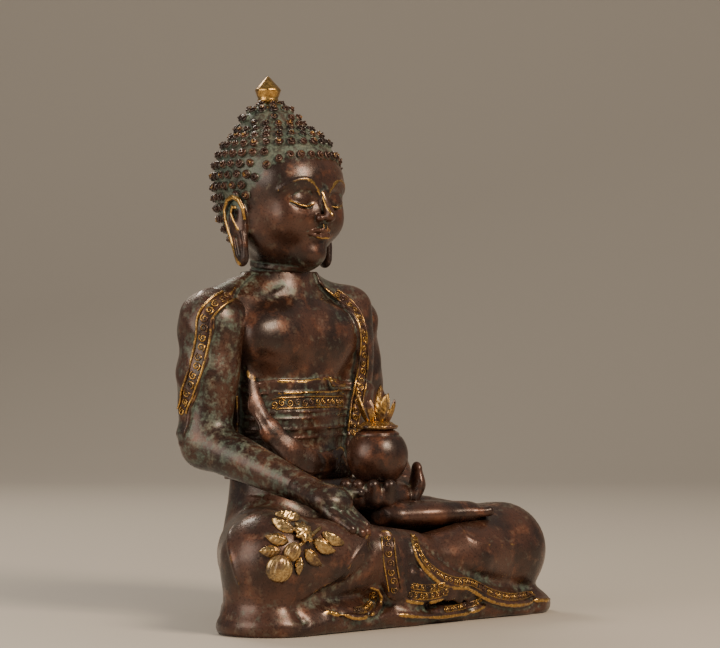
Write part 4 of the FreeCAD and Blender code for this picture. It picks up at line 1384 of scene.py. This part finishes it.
for name, clay, run, width, cord, scroll in (
    (
        "chest_border",
        torso_clay,
        [
            (0.5, 198.8), (5.5, 195), (13.2, 187), (17.1, 174), (17.1, 158), (15.6, 144.3),
            (13.6, 134), (11.7, 124), (10, 112),
        ],
        8.0,
        0.7,
        5.0,
    ),
    (
        "collar_border",
        torso_clay,
        [(24, 62, 204), (14, 76, 200), (0, 82, 198), (-14, 76, 200), (-26, 60, 204)],
        8.0,
        0.7,
        5.0,
    ),
    (
        "sleeve_border",
        right_arm_clay,
        [
            (-63, 198.2), (-67.5, 196.4), (-73.5, 192), (-79.5, 183.8), (-80.6, 172), (-84.6, 154.2),
            (-90, 138.5), (-93.6, 127),
        ],
        9.0,
        0.8,
        5.6,
    ),
    (
        "belt_border",
        torso_clay,
        [(x, 18, 131.5) for x in (-33, -26, -18, -8, 2, 12, 22, 29)],
        6.6,
        0.7,
        4.8,
    ),
    (
        "tail_border",
        seat_clay,
        [(31.3, 54), (31.6, 49), (32.2, 43), (33, 37), (34.2, 30), (35.4, 23)],
        7.4,
        0.5,
        4.8,
    ),
    ("fan_border", seat_clay, [(44.5, 19.6), (50, 18.4), (57, 18), (67, 19.8)], 4.2, 0.5, 3.8),
    ("fan_band", seat_clay, [(46, 24.4), (52, 23.2), (59, 22.9), (65, 24)], 3.2, 0.4, 3.0),
    ("lobe_border", seat_clay, [(12, 12.8), (18, 13.2), (22, 16), (22.5, 21)], 4.4, 0.45, 3.8),
    (
        "wave_border",
        seat_clay,
        [
            (47, 53), (49.5, 45.5), (53.2, 39), (58.6, 33), (65, 28.3), (73, 25.2), (80.5, 24.4),
            (87, 21), (94, 16.8), (104, 13), (114, 12), (122, 12.4),
        ],
        4.6,
        0.45,
        4.0,
    ),
    ("low_border", seat_clay, [(66, 8.5), (74, 9), (82, 10), (88, 12)], 3.4, 0.4, 3.0),
):
    border(name, clay, run, width, cord, scroll)


# ---- Medicine bowl ------------------------------------------------------------------------------
# Round bowl turned and polished brown, with a groove under its shoulder, pinned in the palm.
def build_bowl():
    c = bowl_centre
    clay = Clay(c - 21, c + 23, 0.5)
    clay.ball(c, bowl_radius)
    x, y, z = clay.grid((slice(None),) * 3)
    level = z - c[2]
    groove = 0.55 * np.exp(-(((level - 12.5) / 0.7) ** 2)) - 0.35 * np.exp(-(((level - 14.2) / 0.8) ** 2))
    clay.field += (groove + 0 * x + 0 * y).astype(np.float32)
    clay.plane(c + np.array([0, 0, 17.2]), (0, 0, 1))
    bowl = clay.mesh("bowl", bowl_skin)
    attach(bowl, "root")
    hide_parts("medicine_bowl")


bowl_skin = patina("bowl_patina", 0.40, 0.30, 7)
build_bowl()


# ---- Bowl lid, its leaves and fruit -------------------------------------------------------------
# Bright lid with a serrated collar; veined myrobalan leaves stand on it round a small fruit.
def turned(name, profile, centre, material, steps=48, wave=None):
    """Closed body turned about an upright axis through centre.

    wave(turn, number) changes the radius of the profile's point of that number."""
    points, faces = [(centre[0], centre[1], profile[0][1]), (centre[0], centre[1], profile[-1][1])], []
    inner = profile[1:-1]
    for k in range(steps):
        turn = 2 * math.pi * k / steps
        for number, (radius, z) in enumerate(inner):
            r = radius * (wave(turn, number) if wave else 1)
            points.append((centre[0] + r * math.cos(turn), centre[1] + r * math.sin(turn), z))
    n = len(inner)
    for k in range(steps):
        a, b = 2 + k * n, 2 + (k + 1) % steps * n
        faces.append((0, b, a))
        faces.append((1, a + n - 1, b + n - 1))
        for j in range(n - 1):
            faces.append((a + j, b + j, b + j + 1, a + j + 1))
    return new_object(name, [(np.array(p) + origin) * 0.001 for p in points], faces, material)


lid_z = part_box("bowl_lid")[0][2] * 1000 + 3.0


def build_lid():
    z = lid_z
    profile = [
        (0, z), (9, z), (12.2, z + 0.2), (12.6, z + 1.2), (12.0, z + 2.2), (10.6, z + 2.6), (9.4, z + 3.4)
    ]
    profile += [(8.9, z + 4.4), (7.2, z + 5.0), (4, z + 5.3), (0, z + 5.4)]

    def serration(turn, number):
        return 1 + (0.075 * abs(math.sin(turn * 11)) if 2 <= number - 1 <= 4 else 0)

    lid = turned("lid", profile, bowl_centre, gilt, 132, serration)
    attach(lid, "root")
    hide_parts("bowl_lid")


def leaf_mesh(name, long, wide, ribs):
    """One pointed leaf lying along +X: raised midrib, slanting ribs, closed underneath."""
    across, down = 12, 18
    points, faces = [], []
    for j in range(down + 1):
        t = j / down
        half = wide / 2 * (math.sin(math.pi * min(t * 1.02, 1)) ** 0.75) * (1.12 - 0.4 * t) + 0.02
        for i in range(across + 1):
            u = 2 * i / across - 1
            rib = 0.055 * wide * math.cos(2 * math.pi * (ribs * t - abs(u) * 1.1)) * (1 - abs(u)) ** 0.3
            crown = wide * (0.24 * (1 - u * u) + 0.10 * math.exp(-((u / 0.16) ** 2)))
            rise = 0.25 + math.sin(math.pi * t) ** 0.6
            points.append((t * long, u * half, (crown + rib * (abs(u) > 0.1)) * rise))
    top = len(points)
    points += [(x, y, -0.05 * wide) for x, y, _ in points]
    row = across + 1
    for j in range(down):
        for i in range(across):
            a = j * row + i
            faces.append((a, a + row, a + row + 1, a + 1))
            faces.append((top + a, top + a + 1, top + a + row + 1, top + a + row))
    rim = [i for i in range(row)] + [j * row + across for j in range(1, down + 1)]
    rim += [down * row + i for i in range(across - 1, -1, -1)] + [j * row for j in range(down - 1, 0, -1)]
    for a, b in zip(rim, rim[1:] + rim[:1]):
        faces.append((a, b, top + b, top + a))
    return new_object(name, [np.array(p) * 0.001 for p in points], faces)


def spray_tree():
    """Sets one leaf on every point: its length follows the point's along, its face the point's out."""
    tree, given, result = new_tree(
        "spray",
        [
            ("Leaf", "NodeSocketObject", None),
            ("Size", "NodeSocketFloat", 1.0),
            ("Material", "NodeSocketMaterial", None),
        ],
    )
    leaf = add(
        tree, "GeometryNodeObjectInfo", {"transform_space": "ORIGINAL"}, Object=given["Leaf"]
    ).outputs["Geometry"]
    out = add(
        tree, "GeometryNodeInputNamedAttribute", {"data_type": "FLOAT_VECTOR"}, Name="out"
    ).outputs[0]
    along = add(
        tree, "GeometryNodeInputNamedAttribute", {"data_type": "FLOAT_VECTOR"}, Name="along"
    ).outputs[0]
    scale = add(tree, "ShaderNodeVectorMath", {"operation": "LENGTH"}, i0=along).outputs["Value"]
    size = add(tree, "ShaderNodeMath", {"operation": "MULTIPLY"}, i0=scale, i1=given["Size"]).outputs[0]
    first = add(tree, "FunctionNodeAlignRotationToVector", {"axis": "Z"}, Vector=out).outputs[0]
    second = add(
        tree,
        "FunctionNodeAlignRotationToVector",
        {"axis": "X", "pivot_axis": "Z"},
        Rotation=first,
        Vector=along,
    ).outputs[0]
    spread = add(
        tree,
        "GeometryNodeInstanceOnPoints",
        None,
        Points=given["Geometry"],
        Instance=leaf,
        Rotation=second,
        Scale=size,
    ).outputs[0]
    real = add(tree, "GeometryNodeRealizeInstances", None, Geometry=spread).outputs[0]
    smooth = add(tree, "GeometryNodeSetShadeSmooth", None, Geometry=real).outputs[0]
    paint = add(tree, "GeometryNodeSetMaterial", None, Geometry=smooth, Material=given["Material"])
    tree.links.new(paint.outputs[0], result[0])
    return tree


sprays = spray_tree()


def spray(name, leaf, places, outs, alongs, material):
    carrier = carrier_of(np.array(places, float), np.array(outs, float))
    layer = carrier.data.attributes.new("along", "FLOAT_VECTOR", "POINT")
    layer.data.foreach_set("vector", np.asarray(alongs, np.float32).ravel())
    return grown(name, carrier, sprays, Leaf=leaf, Size=1.0, Material=material)


def build_lid_leaves():
    foot = np.array([bowl_centre[0], bowl_centre[1], lid_z + 4.6])
    tall = leaf_mesh("tall_leaf", 24, 8.5, 6)
    places, outs, alongs = [], [], []
    for number in range(6):
        turn = 2 * math.pi * number / 6 + math.radians(10)
        away = np.array([math.cos(turn), math.sin(turn), 0])
        size = 0.62 if number % 2 else 0.78
        places.append(foot + away * 5.2 - (0, 0, 1.0))
        outs.append(away * 0.94 - np.array([0, 0, 0.34]))
        alongs.append((away * 0.30 + np.array([0, 0, 1.0])) * size)
    places.append(foot + np.array([1.5, -0.5, -1]))
    outs.append(np.array([-0.7, -0.7, 0.0]))
    alongs.append(np.array([0.02, -0.02, 1.0]))
    leaves = spray("lid_leaves", tall, places, outs, alongs, gilt)
    bpy.data.objects.remove(tall, do_unlink=True)
    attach(leaves, "root")
    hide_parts("bowl_lid_leaves")


def ribbed_ball(name, centre, radii, along, out, ribs, depth, material):
    """Ribbed fruit: a ball drawn in at both ends, with ribs from end to end."""
    a = np.array(along, float)
    a /= np.linalg.norm(a)
    o = np.array(out, float)
    o = o - a * (o @ a)
    o /= np.linalg.norm(o)
    s = np.cross(o, a)
    points, faces, rings, steps = [], [], 20, ribs * 6
    for j in range(rings + 1):
        angle = math.pi * j / rings
        for k in range(steps):
            turn = 2 * math.pi * k / steps
            swell = 1 - depth * (0.5 + 0.5 * math.cos(ribs * turn)) * math.sin(angle)
            ring = math.sin(angle) * swell
            round_it = s * radii[1] * math.cos(turn) + o * radii[2] * math.sin(turn)
            p = a * radii[0] * -math.cos(angle) + round_it * ring
            points.append((np.array(centre) + p + origin) * 0.001)
    for j in range(rings):
        for k in range(steps):
            b = (k + 1) % steps
            faces.append((j * steps + k, j * steps + b, (j + 1) * steps + b, (j + 1) * steps + k))
    piece = new_object(name, points, faces, material)
    bpy.context.view_layer.objects.active = piece
    mesh = piece.data
    work = bmesh.new()
    work.from_mesh(mesh)
    bmesh.ops.remove_doubles(work, verts=work.verts, dist=1e-6)
    bmesh.ops.recalc_face_normals(work, faces=work.faces)
    work.to_mesh(mesh)
    work.free()
    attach(piece, "root")
    return piece


build_lid()
build_lid_leaves()
lid_fruit = ribbed_ball(
    "lid_fruit",
    (bowl_centre[0] + 4.5, bowl_centre[1] - 3.5, lid_z + 8.4),
    (4.6, 3.6, 3.6),
    (0.2, -0.1, 1),
    (0, 1, 0),
    7,
    0.14,
    gilt,
)
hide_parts("bowl_lid_fruit")


# ---- Sprig on the right knee --------------------------------------------------------------------
# Fruiting spray of myrobalan, cast separately and brazed on the knee: ribbed leaves, an open flower
# and fruit.
def knee_place(across, up, lift=0.0):
    """A point on the knee, measured across and up from the flower as seen from the front right."""
    points, normals = seat_clay.struck([across - 17.5], [up + 59.3], lift)
    return points[0], normals[0]


def build_sprig():
    leaf = leaf_mesh("spray_leaf", 13.5, 8.2, 5)
    runs = [
        ((-2.6, 8), (-14, 12)), ((-5, 1), (-16.5, 8)), ((-8.5, -4.5), (-20, -0.7)),
        ((-13, -9.5), (-24, -9)),
    ]
    runs += [
        ((10, -0.5), (22, -6)), ((5, -4), (16.5, -10.6)), ((0.5, -9), (9.3, -17.6)),
        ((-2, -13), (-2, -22)),
    ]
    places, outs, alongs = [], [], []
    for start, tip in runs:
        a, out_a = knee_place(*start, lift=0.8)
        b, out_b = knee_place(*tip, lift=2.4)
        run = b - a
        places.append(a)
        outs.append(out_a + out_b)
        alongs.append(run / 11.6)
    leaves = spray("sprig_leaves_cast", leaf, places, outs, alongs, sprig_gold)
    bpy.data.objects.remove(leaf, do_unlink=True)
    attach(leaves, "root")
    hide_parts("sprig_leaves")
    # open flower of eight round petals, with its bud
    centre, out = knee_place(0, 1, lift=2.6)
    first = np.cross(out, (0, 0, 1))
    ribbed_ball("sprig_flower", centre - out * 0.4, (2.9, 7.6, 7.6), out, first, 8, 0.30, sprig_gold)
    ribbed_ball(
        "sprig_flower_heart", centre + out * 2.0, (1.9, 3.0, 3.0), out, first, 10, 0.12, sprig_gold
    )
    bud, bud_out = knee_place(-6.6, -10.0, lift=2.4)
    ribbed_ball("sprig_bud", bud, (6.0, 5.0, 4.2), (0.4, -0.3, 0.8), bud_out, 8, 0.16, sprig_gold)
    fruit, fruit_out = knee_place(-13.9, -19.4, lift=3.4)
    big = ribbed_ball(
        "sprig_fruit", fruit, (8.0, 7.8, 5.2), (0.2, -0.2, 1.0), fruit_out, 12, 0.10, sprig_gold
    )
    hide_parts("sprig_fruits")
    # stem from under the fingers through the leaves to the fruit
    marks = [(9, 2), (2, -3), (-4, -8), (-9, -14), (-12, -17)]
    path = smooth_run([knee_place(a, u, lift=0.3)[0] for a, u in marks], 1.5)
    low, high = path.min(0) - 4, path.max(0) + 4
    clay = Clay(low, high, 0.4)
    clay.limb(list(path), [1.2] * len(path), 0, inner=0.5)
    stem = clay.mesh("sprig_stem_cast", sprig_gold, 0.0)
    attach(stem, "root")
    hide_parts("sprig_stem")


sprig_gold = patina("sprig_brass", 1.16, 0.10, 8, ("#a4824e", "#d8b982"))
build_sprig()


# ---- Crown finial -------------------------------------------------------------------------------
# Bright jewel on a small ring, let into the top-knot.
def build_finial():
    tall = 15.5
    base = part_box("crown_finial")[1][2] * 1000 - tall
    profile = [
        (0, base - 3), (5.8, base - 3), (6.3, base - 0.4), (6.7, base + 0.5), (6.2, base + 1.2),
        (7.0, base + 3.0),
    ]
    profile += [
        (7.9, base + 5.6), (8.3, base + 6.5), (7.9, base + 7.3), (4.4, base + 11.2),
        (0.8, base + 15.1), (0, base + tall),
    ]

    def facets(turn, number):
        return 1 - 0.035 * abs(math.sin(turn * 4)) if number >= 5 else 1

    finial = turned("finial", profile, (0, knot_back), finial_gold, 64, facets)
    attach(finial, "root")
    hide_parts("crown_finial")


finial_gold = patina("finial_brass", 1.3, 0.05, 9)
build_finial()


# ---- Base plate and screws ----------------------------------------------------------------------
# Sheet brass let into the underside and its cheese-head screws, left as cast and gone dull.
plate_skin = patina("plate_patina", 0.72, 0.45, 11)
for node in ("base_plate", "base_plate_screws"):
    for slot in bpy.data.objects[node].material_slots:
        slot.material = plate_skin
